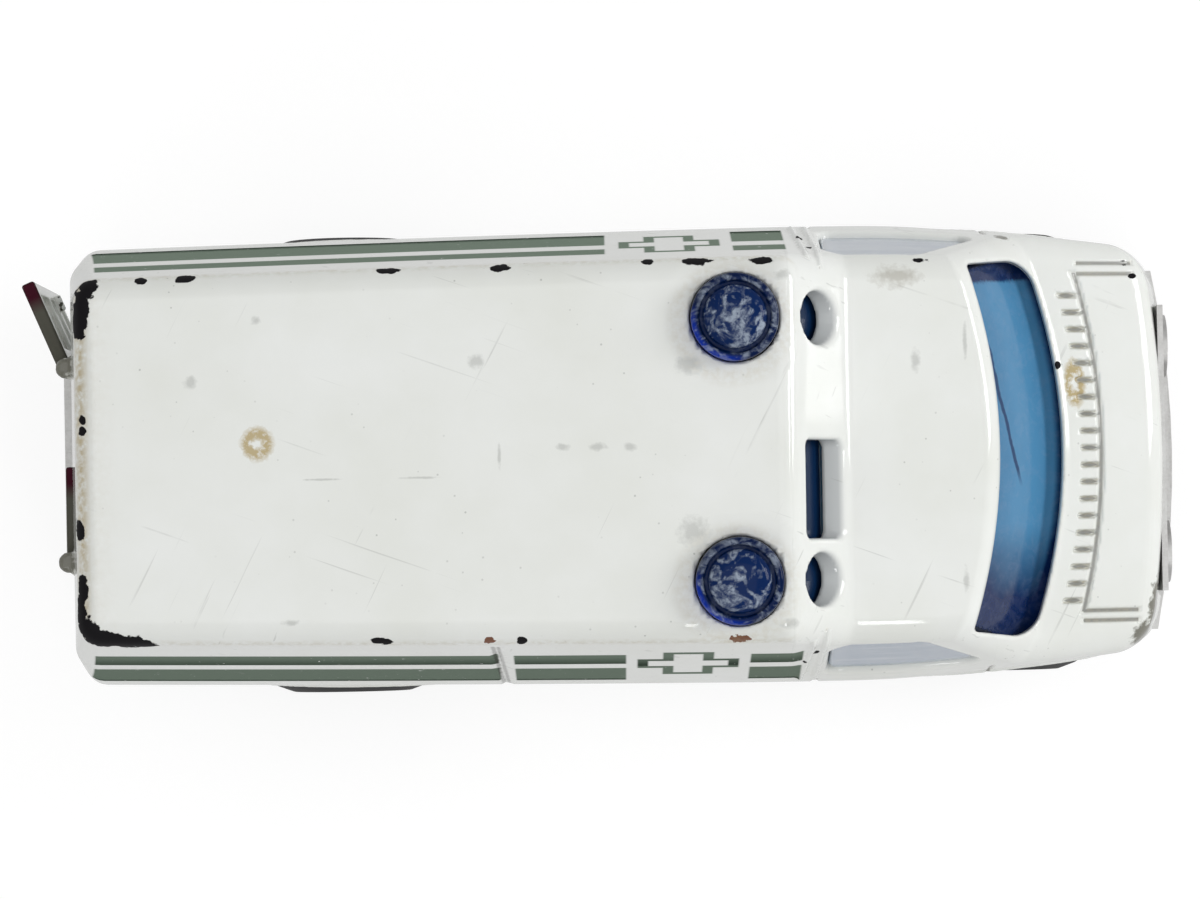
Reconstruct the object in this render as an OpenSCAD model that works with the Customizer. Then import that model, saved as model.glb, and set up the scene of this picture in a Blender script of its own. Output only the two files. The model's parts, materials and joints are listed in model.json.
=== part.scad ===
// Toy ambulance: a die-cast van with a raised roof, two beacons and swinging rear doors.
// Millimetres. +X points forward, +Y to the vehicle's left, +Z up, wheels standing on z = 0.

/* [Shell profile] */
// Length of the raised roof, from the rear face to its front edge
box_len = 42.4; // [38:0.2:46]
// Height of the raised roof
roof_z = 29.7; // [28:0.1:31]
// How far the roof's rear edge stands forward of the rear face
roof_rear_in = 1.1; // [0.8:0.1:2]
// Height at which the rear face starts to lean in
rear_break_z = 20.6; // [20:0.1:22]
// Run of the step from the raised roof down to the cab roof
step_run = 3.4; // [2.6:0.1:4]
// Height of the cab roof behind the windscreen
cab_roof_z = 24.8; // [24.4:0.1:25.6]
// Length of the cab roof
cab_roof_len = 8.4; // [7:0.1:10]
// How much the cab roof falls towards the windscreen
cab_roof_fall = 0.6; // [0.2:0.1:1]
// Run of the windscreen
screen_run = 5.1; // [4.4:0.1:6]
// Height of the cowl at the windscreen's foot
cowl_z = 16.6; // [16:0.1:17.4]
// Length of the hood with its cowl
hood_len = 5.9; // [5:0.1:7]
// Height of the hood's front edge
hood_front_z = 14.6; // [14:0.1:15.2]
// How far the nose leans forward below the hood's edge
nose_run = 0.8; // [0.4:0.1:1.2]

/* [Shell section] */
// Width of the body at the cab doors, its widest place
body_w = 28.0; // [26:0.2:30]
// How much each side draws in towards the rear
rear_draw = 0.65; // [0.2:0.05:1]
// How much each side draws in towards the nose
nose_draw = 1.7; // [1:0.1:2.2]
// Plan radius of the rear corners
rear_corner_r = 1.3; // [0.8:0.1:1.8]
// Plan radius of the nose corners
nose_corner_r = 2.4; // [1.6:0.1:3]
// Height of the belt line, where the sides are widest
belt_z = 14.2; // [13.4:0.1:15]
// Height of the bottom edge of the sides
sill_z = 4.0; // [3.6:0.1:4.4]
// How much the sides tuck in from the belt down to the sill
sill_tuck = 0.5; // [0.2:0.1:1]
// Inward lean of the box sides, in mm for each mm of height
box_lean = 0.172; // [0.12:0.002:0.2]
// Inward lean of the cab sides, in mm for each mm of height
cab_lean = 0.27; // [0.2:0.005:0.3]
// Radius along the edges of the roof
edge_r = 1.3; // [0.8:0.1:1.6]
// Rise of the roof at its centre line
crown = 0.35; // [0.1:0.05:0.6]
// How far the windscreen bows forward at its centre
screen_bow = 2.85; // [2:0.05:3.2]
// How far the nose bows forward at its centre
nose_bow = 0.8; // [0.4:0.1:1.2]
// Wall thickness of the shell
wall = 1.2; // [1:0.05:1.4]

/* [Openings] */
// Set-in of the windscreen opening's ends from the body's widest place
screen_in = 2.9; // [2.6:0.1:3.6]
// Set-back of the windscreen opening from the roof's front edge
screen_head = 0.65; // [0.4:0.05:1]
// Height of the side windows' lower edge
window_sill_z = 16.4; // [16:0.1:17]
// Height of the side windows
window_h = 6.4; // [5.6:0.1:6.8]
// Length of the side windows along their lower edge
window_len = 9.8; // [9:0.1:10.2]
// Set-in of each round lamp and each beacon from the body's widest place
lamp_in = 6.4; // [6:0.1:7]
// Diameter of the round lamp openings
lamp_d = 3.1; // [2.6:0.1:3.3]
// Width of the rectangular lamp opening
sign_w = 5.7; // [5:0.1:6.2]
// Offset of the rectangular lamp opening to the right of the centre line
sign_offset = 2.35; // [1.8:0.05:2.6]
// Distance of the beacons behind the raised roof's front edge
beacon_back = 3.2; // [3:0.1:4.5]
// Diameter of the beacons
beacon_d = 5.1; // [4.6:0.1:5.4]
// Height of the beacons above the roof
beacon_h = 1.5; // [1:0.1:2]

/* [Rear doors] */
// Set-in of each door's hinge from the body's widest place
hinge_in = 8.25; // [7.8:0.05:8.6]
// Angle at which the left door stands open
door_open = 157; // [120:1:165]
// Thickness of the doors
door_t = 0.8; // [0.6:0.05:1]
// Height of the doors' lower edge
door_bottom_z = 6.0; // [5.9:0.1:6.6]
// Height of the doors
door_h = 13.8; // [12:0.1:14]
// Diameter of the doors' stub pins
hinge_pin_d = 0.9; // [0.7:0.05:1]

/* [Running gear] */
// Diameter of the wheels
wheel_d = 10.5; // [9.6:0.1:11]
// Width of the wheels
wheel_w = 3.6; // [3:0.1:4]
// Distance from the rear face to the rear axle
rear_axle_back = 15.65; // [14:0.1:18]
// Distance between the axles
wheelbase = 40.2; // [38:0.1:42]
// How far the rear wheels stand out beyond the sides
rear_wheel_out = 0.35; // [0:0.05:0.8]
// How far the front wheels stand inside the sides
front_wheel_in = 0.18; // [0.02:0.02:0.6]
// Diameter of the axle wires
axle_d = 1.2; // [1:0.05:1.4]

/* [Cowl and grille] */
// Number of louvres in the cowl
louvre_count = 19; // [9:2:23]
// Distance between the louvres
louvre_pitch = 1.02; // [0.9:0.02:1.1]
// Length of each louvre
louvre_len = 1.1; // [0.8:0.1:1.4]
// Width of each louvre
louvre_w = 0.28; // [0.2:0.02:0.4]
// Set-in of the grille's ends from the body's widest place
grille_in = 5.2; // [4.6:0.1:6]
// Radius of the headlamps
headlamp_r = 1.9; // [1.6:0.1:2]

/* [Base and interior] */
// Height of the base plate's underside
base_z = 3.4; // [3:0.1:3.6]
// Thickness of the base plate
base_t = 1.2; // [1:0.05:1.2]
// How far the rear step stands out behind the rear face
step_out = 1.95; // [1.4:0.05:2.2]
// How far the bumper stands out in front of the nose
bumper_out = 0.7; // [0.4:0.05:1]
// Thickness of the interior moulding
tray_t = 0.8; // [0.6:0.05:1]
// Thickness of the clear mouldings
glass_t = 0.9; // [0.7:0.05:1]

/* [Hidden] */
$fn = 48;
// Gap between pieces that seat on each other
seat_gap = 0.06;
// Radial clearance of a pin that turns in its bore
run_gap = 0.05;
// Gap around the doors
door_gap = 0.15;
// Depth to which a raised part is sunk into the one that carries it
sunk = 0.2;

// Stations of the shell's top line, measured from the rear face
step_top_x = box_len;
step_foot_x = step_top_x + step_run;
header_x = step_foot_x + cab_roof_len;
header_z = cab_roof_z - cab_roof_fall;
cowl_x = header_x + screen_run;
hood_x = cowl_x + hood_len;
nose_x = hood_x + nose_run;
nose_low_z = belt_z - 5.2;
top_line = [
    [0, rear_break_z],
    [roof_rear_in, roof_z],
    [step_top_x, roof_z],
    [step_foot_x, cab_roof_z],
    [header_x, header_z],
    [cowl_x, cowl_z],
    [hood_x, hood_front_z],
    [nose_x, nose_low_z]
];
// Radius at each inner corner of the top line
top_radii = [edge_r, edge_r, 0.8, 1.0, 0.7, 1.0];
// Least height of the rounded shoulder between belt and roof
shoulder = 2.2;
// Width of the small step on which the sides start to lean in
belt_step = 0.12;
// Depth below the cowl to which the windscreen opening and its glass reach
screen_depth = 3.2;
// Height up to which the cab's glass reaches under the roof
glass_top_z = cab_roof_z - 0.8;
// Longest step between two stations of the loft
station_step = 5;

half_w = body_w / 2;
screen_half = half_w - screen_in;
lamp_y = half_w - lamp_in;
hinge_y = half_w - hinge_in;
base_top_z = base_z + base_t;
axle_z = wheel_d / 2;
rear_axle_x = rear_axle_back;
front_axle_x = rear_axle_back + wheelbase;
axle_r = axle_d / 2;
lug_top_z = axle_z + 1.4;
tray_z = lug_top_z + seat_gap;
rear_track = 2 * (belt_half(rear_axle_x) + rear_wheel_out);
front_track = 2 * (belt_half(front_axle_x) - front_wheel_in);
// Room around a wheel in its arch, and beside its inner face
arch_room = 0.95;
wheel_room = 1.05;
arch_r = wheel_d / 2 + arch_room;
arch_inner_y = min(rear_track, front_track) / 2 - wheel_w - wheel_room;

// Rear doors: the hinge line stands a little behind the rear face, so an open leaf clears it
hinge_out = 0.25;
hinge_x = -hinge_out;
hinge_pin_r = hinge_pin_d / 2;
leaf_outer = hinge_out;
leaf_inner = door_t - hinge_out;
barrel_r = max(leaf_inner, hinge_pin_r + 0.1);
leaf_len = hinge_y - door_gap / 2;
door_top_z = door_bottom_z + door_h;
doorway_half = hinge_y + barrel_r + door_gap;
hinge_ear_r = hinge_pin_r + 0.5;
hinge_ear_h = 1.3;
hinge_pin_up = 1.0;

// Beacons and the lamp lens
beacon_x = step_top_x - beacon_back;
beacon_r = beacon_d / 2;
beacon_seat_z = roof_z - wall - crown - 0.05;
beacon_flange_t = 0.7;
beacon_flange_r = beacon_r + 0.45;
step_angle = atan2(roof_z - cab_roof_z, step_run);
lamp_z = (roof_z + cab_roof_z) / 2 - 0.35;
sign_h = 3.2;
// The lens fits between the shell's walls with this room at each end
lens_room = 0.4;
lens_half_w = side_half(step_top_x, roof_z) - wall - lens_room;
// The lens stands behind the step face, clear of the crown of its inner side
lens_back = wall + seat_gap + crown * cos(step_angle);
lens_rise = 1.9;
lens_drop = 2.1;

// Rivets: one under the cowl and one in each rear corner
rivet_r = 0.6;
rivet_fit = 0.02;
rivet_boss_r = 1.5;
rivet_head_r = 1.25;
rivet_len = 3;
rivet_in_x = wall + 1.9;
rivet_in_y = wall + 2.2;
rivet_places = [
    [cowl_x + 1.8, 0, cowl_z - 2.2],
    [rivet_in_x, half_w - rivet_in_y, belt_z - 4],
    [rivet_in_x, rivet_in_y - half_w, belt_z - 4]
];

// Nose: the grille stands on the base plate in a recess of the shell
grille_half = half_w - grille_in;
grille_top_z = nose_low_z + 3.4;
grille_back_x = nose_x - 0.7;
headlamp_y = grille_half - headlamp_r - 0.6;
bumper_half = half_w - nose_draw - 1.2;
bumper_bow = 1.1;
bumper_h = 3.2;
louvre_x = cowl_x + 1.4;
louvre_depth = 0.35;
hood_angle = atan2(cowl_z - hood_front_z, hood_len);

// The frame's origin lies midway between the bumper and the tip of the open door
door_tip_x = hinge_x - leaf_len * sin(door_open) + leaf_inner * cos(door_open);
bumper_x = nose_x + bumper_out;
x_shift = -(door_tip_x + bumper_x) / 2;
echo(x_shift = x_shift, hinge = x_shift + hinge_x, rear_axle = x_shift + rear_axle_x,
    front_axle = x_shift + front_axle_x, reach = bumper_x + x_shift,
    rear_wheel_y = (rear_track - wheel_w) / 2, front_wheel_y = (front_track - wheel_w) / 2);

white = [0.90, 0.91, 0.89];
blue = [0.10, 0.22, 0.42, 0.6];
grey = [0.62, 0.63, 0.64];
cream = [0.85, 0.83, 0.76];
black = [0.06, 0.06, 0.07];

function unit(v) = v / norm(v);
function clamp01(t) = max(0, min(1, t));
function turned(a) = a > 180 ? a - 360 : a < -180 ? a + 360 : a;

// Arc of radius r that rounds the corner b between a and c, as n + 1 points
function corner_arc(a, b, c, r, n) =
    let (
        u = unit(a - b),
        w = unit(c - b),
        half = acos(u * w) / 2,
        mid = b + unit(u + w) * r / sin(half),
        p = b + u * r / tan(half) - mid,
        q = b + w * r / tan(half) - mid,
        start = atan2(p[1], p[0]),
        sweep = turned(atan2(q[1], q[0]) - start)
    )
    [for (i = [0:n]) mid + r * [cos(start + sweep * i / n), sin(start + sweep * i / n)]];

// An open line with each inner corner rounded
function rounded_line(pts, radii, n = 4) = [
    pts[0],
    for (i = [1:len(pts) - 2]) each corner_arc(pts[i - 1], pts[i], pts[i + 1], radii[i - 1], n),
    pts[len(pts) - 1]
];

// A closed outline with every corner rounded
function rounded_outline(pts, r, n = 5) =
    let (count = len(pts))
    [for (i = [0:count - 1])
        each corner_arc(pts[(i + count - 1) % count], pts[i], pts[(i + 1) % count], r, n)];

// A line cut into pieces no longer than step
function divided(pts, step) = [
    for (i = [0:len(pts) - 2])
        let (parts = max(1, ceil(norm(pts[i + 1] - pts[i]) / step)))
        for (k = [0:parts - 1]) pts[i] + (pts[i + 1] - pts[i]) * k / parts,
    pts[len(pts) - 1]
];

// A line moved to its right by d, mitred at its corners
function right_of(a, b) = let (u = unit(b - a)) [u[1], -u[0]];
function moved_line(pts, d) =
    let (last = len(pts) - 1)
    [for (i = [0:last])
        let (
            m = right_of(pts[max(0, i - 1)], pts[max(1, i)]),
            n = right_of(pts[min(last - 1, i)], pts[min(last, i + 1)])
        )
        pts[i] + (m + n) * d / (1 + m * n)];

// Loss of half-width at distance d from an end with plan radius r
function corner_loss(d, r) = d >= r ? 0 : r - sqrt(max(0, r * r - (r - d) * (r - d)));

// Half-width of the belt at x
function belt_half(x) =
    half_w
    - rear_draw * pow(clamp01((step_foot_x - x) / step_foot_x), 1.5)
    - nose_draw * pow(clamp01((x - step_foot_x) / (nose_x - step_foot_x)), 2.2)
    - corner_loss(max(0, x), rear_corner_r)
    - corner_loss(max(0, nose_x - x), nose_corner_r);

// Forward bow of the section at x, and inward lean of its sides
function bow(x) = lookup(x, [
    [step_foot_x, 0], [header_x, screen_bow], [cowl_x, screen_bow], [nose_x, nose_bow]
]);
function lean(x) = box_lean + (cab_lean - box_lean) * clamp01((x - step_top_x) / step_run);

// Half-width of the sides at x and z, above the belt
function side_half(x, z) = belt_half(x) - belt_step - max(0, z - belt_z) * lean(x);

// Height of the hood's surface at x and y
function hood_top(x, y) =
    let (
        w = belt_half(x),
        station = x + bow(x) * pow(y / w, 2)
    )
    cowl_z - (station - cowl_x) * (cowl_z - hood_front_z) / hood_len - crown * pow(y / w, 2);

// Left half of the section at x, from the sill up to the centre line, in (y, z)
function half_section(x, top, inset, bottom) =
    let (
        belt = min(belt_z, top - shoulder),
        wb = belt_half(x) - inset,
        rise = top - crown - belt,
        edge = wb - rise * lean(x),
        ridge = [0.6 * edge, top - crown * 0.36],
        radius = max(0.35, edge_r - inset)
    )
    concat(
        [[wb - sill_tuck, bottom], [wb, belt - 1.2]],
        [[wb - belt_step, belt]],
        corner_arc([wb - belt_step, belt], [edge - belt_step, top - crown], ridge, radius, 4),
        [ridge, [0.3 * edge, top - crown * 0.09]]
    );

// The whole section as a ring of points in space
function ring(x, top, inset, bottom) =
    let (
        left = half_section(x, top, inset, bottom),
        n = len(left),
        flat = concat(left, [[0, top]], [for (i = [n - 1:-1:0]) [-left[i][0], left[i][1]]]),
        w = belt_half(x)
    )
    [for (p = flat) [x - bow(x) * pow(p[0] / w, 2), p[0], p[1]]];

// Solid loft through the sections under a top line
module loft(line, inset, bottom) {
    rings = [for (p = line) ring(p[0], p[1], inset, bottom)];
    n = len(rings[0]);
    last = len(rings) - 1;
    hubs = [for (p = [line[0], line[last]]) [p[0], 0, (p[1] + bottom) / 2]];
    points = concat([for (r = rings) each r], hubs);
    rear_hub = n * (last + 1);
    front_hub = rear_hub + 1;
    sides = [for (i = [0:last - 1], j = [0:n - 1])
        let (a = i * n + j, b = i * n + (j + 1) % n)
        each [[a, a + n, b + n], [a, b + n, b]]];
    rear = [for (j = [0:n - 1]) [rear_hub, j, (j + 1) % n]];
    front = [for (j = [0:n - 1]) [front_hub, last * n + (j + 1) % n, last * n + j]];
    polyhedron(points, concat(sides, rear, front), convexity = 8);
}

module outer_form() {
    loft(divided(rounded_line(top_line, top_radii), station_step), 0, sill_z);
}

// The outer form moved inwards by d, open below
module inner_form(d) {
    loft(divided(moved_line(top_line, d), station_step), d, sill_z - 1);
}

// Extrudes an (x, z) outline across the vehicle, from y0 to y1
module across(outline, y0, y1) {
    translate([0, y1, 0]) rotate([90, 0, 0]) linear_extrude(y1 - y0) polygon(outline);
}

// Extrudes a (y, z) outline along the vehicle, from x0 to x1
module along(outline, x0, x1) {
    translate([x0, 0, 0]) rotate([90, 0, 90]) linear_extrude(x1 - x0) polygon(outline);
}

module box(low, high) {
    translate(low) cube(high - low);
}

module post(at, r, z0, z1) {
    translate([at[0], at[1], z0]) cylinder(r = r, h = z1 - z0);
}

// Places what is drawn on the step face: local +X runs down the face and +Z out of it
module on_step() {
    translate([(step_top_x + step_foot_x) / 2, 0, (roof_z + cab_roof_z) / 2])
        rotate([0, step_angle, 0]) children();
}

// Windscreen opening in plan, bowed like the glass
module screen_opening() {
    steps = 12;
    corner_r = 0.7;
    head = header_x + screen_head;
    foot = cowl_x - 0.25;
    function bowed(x, y) = x - screen_bow * pow(y / belt_half(x), 2);
    outline = concat(
        [for (i = [0:steps]) let (y = screen_half * (2 * i / steps - 1)) [bowed(head, y), y]],
        [for (i = [0:steps]) let (y = screen_half * (1 - 2 * i / steps)) [bowed(foot, y), y]]
    );
    translate([0, 0, cowl_z - screen_depth]) linear_extrude(roof_z)
        polygon(rounded_ends(outline, steps, corner_r));
}

// Rounds only the four ends of a band made of two rows of points
function rounded_ends(pts, steps, r) =
    let (count = len(pts), ends = [0, steps, steps + 1, 2 * steps + 1])
    [for (i = [0:count - 1])
        each (len([for (e = ends) if (e == i) e]) > 0
            ? corner_arc(pts[(i + count - 1) % count], pts[i], pts[(i + 1) % count], r, 4)
            : [pts[i]])];

// Side window outline: upright at the rear, leaning with the windscreen pillar at the front
function window_outline() =
    let (
        corner_r = 0.8,
        x0 = step_foot_x - 1.2,
        x1 = x0 + window_len,
        z0 = window_sill_z,
        z1 = z0 + window_h,
        pillar = screen_run / (header_z - cowl_z)
    )
    rounded_outline([[x0, z0], [x1, z0], [x1 - pillar * window_h, z1], [x0, z1]], corner_r);

module lamp_openings() {
    for (side = [-1, 1])
        translate([step_top_x - 1, side * lamp_y, lamp_z]) rotate([0, 90, 0])
            cylinder(d = lamp_d, h = step_run + 2);
    sign = [[-sign_w / 2, -sign_h / 2], [sign_w / 2, -sign_h / 2], [sign_w / 2, sign_h / 2],
        [-sign_w / 2, sign_h / 2]];
    translate([0, -sign_offset, lamp_z - 0.1])
        along(rounded_outline(sign, 0.35), step_top_x - 1, step_foot_x + 1);
}

module wheel_arches() {
    depth = half_w + 1 - arch_inner_y;
    for (x = [rear_axle_x, front_axle_x], side = [-1, 1])
        translate([x, side * (arch_inner_y + depth / 2), axle_z]) rotate([90, 0, 0])
            cylinder(r = arch_r, h = depth, center = true);
}

// Row of louvres that follows the foot of the windscreen
module louvres() {
    for (i = [0:louvre_count - 1]) {
        y = (i - (louvre_count - 1) / 2) * louvre_pitch;
        x = louvre_x - bow(louvre_x) * pow(y / belt_half(louvre_x), 2);
        translate([x, y, hood_top(x, y)]) rotate([0, hood_angle, 0])
            cube([louvre_len, louvre_w, 2 * louvre_depth], center = true);
    }
}

module body_shell() color(white) translate([x_shift, 0, 0]) {
    difference() {
        union() {
            difference() {
                outer_form();
                inner_form(wall);
            }
            for (p = rivet_places) post(p, rivet_boss_r, base_top_z + seat_gap, p[2]);
            for (side = [-1, 1]) {
                post([beacon_x, side * lamp_y], beacon_flange_r + 0.3, beacon_seat_z,
                    roof_z - wall + 0.2);
                post([hinge_x, side * hinge_y], hinge_ear_r, door_top_z + door_gap,
                    door_top_z + door_gap + hinge_ear_h);
            }
        }
        screen_opening();
        across(window_outline(), -half_w - 1, half_w + 1);
        lamp_openings();
        wheel_arches();
        louvres();
        box([-2, -doorway_half, sill_z - 1], [wall + 0.5, doorway_half, door_top_z + door_gap]);
        box([grille_back_x, -grille_half, sill_z - 1], [nose_x + 1, grille_half, grille_top_z]);
        box([nose_x - 3, -grille_half, sill_z - 1], [nose_x + 1, grille_half, base_top_z + seat_gap]);
        for (side = [-1, 1]) {
            post([beacon_x, side * lamp_y], beacon_r + run_gap, beacon_seat_z - 1, roof_z + 1);
            post([hinge_x, side * hinge_y], hinge_pin_r + run_gap, door_top_z,
                door_top_z + hinge_pin_up + door_gap);
        }
        for (p = rivet_places)
            post(p, rivet_r + rivet_fit, base_top_z, base_top_z + rivet_len + 2 * run_gap);
    }
}

// Plan of the base plate, with cut-outs for the wheels
module base_outline() {
    half = half_w - sill_tuck - rear_draw - wall - 0.2;
    nose_half = half_w - sill_tuck - nose_draw - wall - 1.4;
    well_half = wheel_d / 2 + wheel_room / 1.5;
    well_y = arch_inner_y - 0.2;
    well_depth = half_w - well_y;
    rear = wall + 0.2;
    neck = front_axle_x + 1;
    front = nose_x - wall - 1;
    difference() {
        polygon(rounded_outline([[rear, -half], [front_axle_x, -half], [neck, -nose_half],
            [front, -nose_half], [front, nose_half], [neck, nose_half], [front_axle_x, half],
            [rear, half]], wall / 2));
        for (x = [rear_axle_x, front_axle_x], side = [-1, 1])
            translate([x - well_half, side > 0 ? well_y : -well_y - well_depth])
                square([2 * well_half, well_depth]);
    }
}

// Step behind the doors, which also carries their lower pins
module rear_step() {
    half = hinge_y + 0.6;
    front = wall + 1.2;
    rear = -step_out;
    corner_r = 0.4;
    translate([0, 0, base_z]) linear_extrude(door_bottom_z - door_gap - base_z)
        polygon(rounded_outline([[rear, -half], [front, -half], [front, half], [rear, half]], corner_r));
}

// Tongue that carries the grille panel with its bars and headlamps, and the bumper
module front_end() {
    tongue_half = grille_half - 0.1;
    tongue_len = 4;
    panel_t = 0.35;
    bar_half = headlamp_y - headlamp_r - 0.2;
    bar_count = 5;
    bar_pitch = 0.85;
    bar_h = 0.4;
    front_band(tongue_half, tongue_len, 0.2, base_t);
    box([grille_back_x + 0.05, -tongue_half, base_z],
        [grille_back_x + 0.05 + panel_t, tongue_half, grille_top_z - 0.1]);
    for (k = [0:bar_count - 1]) {
        z = nose_low_z - 1.2 + bar_pitch * k;
        box([grille_back_x, -bar_half, z], [nose_x - 0.05, bar_half, z + bar_h]);
    }
    for (side = [-1, 1])
        translate([grille_back_x + 0.1, side * headlamp_y, nose_low_z + 0.6]) rotate([0, 90, 0])
            cylinder(r = headlamp_r, h = 2 * panel_t - 0.05);
    front_band(bumper_half, bumper_out - 0.15, 0, bumper_h);
}

// Bearing lugs of the two axles
module axle_lugs() {
    foot = 2.2;
    head = axle_d;
    lug_t = 1.4;
    lug_y = arch_inner_y - 2.4;
    z0 = base_z + sunk;
    for (x = [rear_axle_x, front_axle_x], side = [-1, 1])
        across([[x - foot, z0], [x + foot, z0], [x + head, lug_top_z], [x - head, lug_top_z]],
            side * lug_y - lug_t / 2, side * lug_y + lug_t / 2);
}

// Sump, gearbox, tank and exhaust in relief on the underside
module underside() {
    relief = 0.45;
    sump = [front_axle_x - 4, front_axle_x + 3, 3.2];
    gearbox = [front_axle_x - 11, sump[0] + sunk, 1.7];
    tank = [rear_axle_x - 9, rear_axle_x - 3, 5.5];
    pipe_y = 5.4;
    pipe_r = 0.55;
    pipe_rear = rear_axle_x + 4;
    silencer_r = 1.0;
    silencer_rear = pipe_rear + 5;
    silencer_len = 8;
    for (b = [sump, gearbox, tank])
        box([b[0], -b[2], base_z - relief], [b[1], b[2], base_z + sunk]);
    translate([pipe_rear, pipe_y, base_z]) rotate([0, 90, 0])
        cylinder(r = pipe_r, h = wheelbase - 12);
    translate([silencer_rear, pipe_y, base_z]) rotate([0, 90, 0])
        cylinder(r = silencer_r, h = silencer_len);
}

module base_plate() color(grey) translate([x_shift, 0, 0])
    difference() {
        union() {
            translate([0, 0, base_z]) linear_extrude(base_t) base_outline();
            rear_step();
            front_end();
            axle_lugs();
            underside();
        }
        for (x = [rear_axle_x, front_axle_x])
            translate([x, 0, axle_z]) rotate([90, 0, 0])
                cylinder(r = axle_r + rivet_fit, h = body_w, center = true);
        for (p = rivet_places) post(p, rivet_r + 2 * rivet_fit, base_z - 1, base_top_z + 1);
        for (side = [-1, 1])
            post([hinge_x, side * hinge_y], hinge_pin_r + run_gap, base_top_z, door_bottom_z + 1);
    }

// Band across the front of the base, bowed in plan like the bumper's face and this far behind it
module front_band(half, depth, behind, height) {
    steps = 10;
    function front(y) = bumper_x - behind - bumper_bow * pow(y / bumper_half, 2);
    outline = concat(
        [for (i = [0:steps]) let (y = half * (2 * i / steps - 1)) [front(y), y]],
        [for (i = [0:steps]) let (y = half * (1 - 2 * i / steps)) [front(y) - depth, y]]
    );
    translate([0, 0, base_z]) linear_extrude(height) polygon(outline);
}

// A clear moulding that lines the shell between two insets
module lining(inset, thickness) {
    difference() {
        inner_form(inset);
        inner_form(inset + thickness);
    }
}

module cab_glazing() color(blue) translate([x_shift, 0, 0])
    intersection() {
        lining(wall + seat_gap, glass_t);
        union() {
            box([step_foot_x - 1.9, -half_w, window_sill_z - 1.1], [header_x, half_w, glass_top_z]);
            box([header_x - screen_bow, -half_w, cowl_z - screen_depth], [cowl_x + 0.1, half_w, glass_top_z]);
        }
    }

module front_lamp_lens() color(blue) translate([x_shift, 0, 0])
    on_step() {
        outline = rounded_outline([[-lens_rise, -lens_half_w], [lens_drop, -lens_half_w],
            [lens_drop, lens_half_w], [-lens_rise, lens_half_w]], glass_t / 2);
        translate([0, 0, -lens_back - glass_t]) linear_extrude(glass_t) polygon(outline);
    }

// Beacon: a flange under the roof, a stem through it, then a rim, a groove and a low dome
module beacon(side) color(blue) translate([x_shift + beacon_x, side * lamp_y, 0]) {
    flange_z = beacon_seat_z - seat_gap - beacon_flange_t;
    stem_z = beacon_seat_z - seat_gap;
    rim_z = roof_z + beacon_h * 0.6;
    rim_in = beacon_r * 0.82;
    groove_in = beacon_r * 0.7;
    groove_z = rim_z - 0.3;
    dome_z = roof_z + beacon_h;
    dome_steps = 8;
    dome = [for (i = [0:dome_steps]) let (a = 90 * i / dome_steps)
        [groove_in * cos(a), rim_z - 0.1 + (dome_z - rim_z + 0.1) * sin(a)]];
    difference() {
        rotate_extrude() polygon(concat(
            [[0, flange_z], [beacon_flange_r, flange_z], [beacon_flange_r, stem_z], [beacon_r, stem_z],
                [beacon_r, rim_z - 0.15], [beacon_r - 0.15, rim_z], [rim_in, rim_z], [rim_in, groove_z],
                [groove_in, groove_z]],
            dome));
        // Flats on the flange that clear the lamp lens and the shell's side
        box([beacon_r - 0.75, -beacon_d, flange_z - 1], [beacon_d, beacon_d, stem_z]);
        translate([-beacon_d, side > 0 ? beacon_r : -beacon_r - beacon_d, flange_z - 1])
            cube([2 * beacon_d, beacon_d, stem_z - flange_z + 1]);
    }
}

module beacon_left() beacon(1);
module beacon_right() beacon(-1);

// Interior: floor, wheel boxes that serve as benches, stretcher, seats, dash and steering wheel
module interior_tray() color(cream) translate([x_shift, 0, 0]) {
    floor_half = arch_inner_y - 0.3;
    bench_z = wheel_d + 1.6;
    bench_half = half_w - rear_draw - wall - 0.7;
    rear_x = wall + 2.0;
    seat_x = step_foot_x - 1.2;
    dash_x = front_axle_x - 3;
    low = tray_z + tray_t;
    inner = floor_half - tray_t;
    under = bench_z - tray_t;
    section = [[-floor_half, tray_z], [floor_half, tray_z], [floor_half, under], [bench_half, under],
        [bench_half, bench_z], [inner, bench_z], [inner, low], [-inner, low], [-inner, bench_z],
        [-bench_half, bench_z], [-bench_half, under], [-floor_half, under]];
    along(section, rear_x, seat_x - 2);
    box([seat_x - 2 - sunk, -floor_half, tray_z], [front_axle_x + 1, floor_half, low]);
    stretcher(rear_x + 2, low);
    for (side = [-1, 1]) seat(seat_x, side * (floor_half - 3.6), low);
    across(rounded_outline([[dash_x, low - sunk], [dash_x + 1.2, low - sunk], [dash_x + 2.4, low + 6.8],
        [dash_x - 1.2, low + 6.4], [dash_x - 0.6, low + 4.4]], tray_t / 2), -floor_half, floor_half);
    translate([dash_x - 0.9, floor_half - 3.6, low + 5.4]) rotate([0, -60, 0]) steering_wheel();
}

// Stretcher with a raised pillow, from x forward
module stretcher(x, z) {
    half = 2.9;
    thick = 1.5;
    long = 25;
    pillow_half = 2.4;
    pillow_len = 5.5;
    head = x + long - 0.5;
    top = z + thick;
    along(rounded_outline([[-half, z - sunk], [half, z - sunk], [half, top], [-half, top]], 0.5),
        x, x + long);
    across(rounded_outline([[head - pillow_len, top - sunk], [head, top - sunk], [head, top + 0.9],
        [head - pillow_len + 1.5, top + 0.8]], 0.35), -pillow_half, pillow_half);
}

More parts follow.
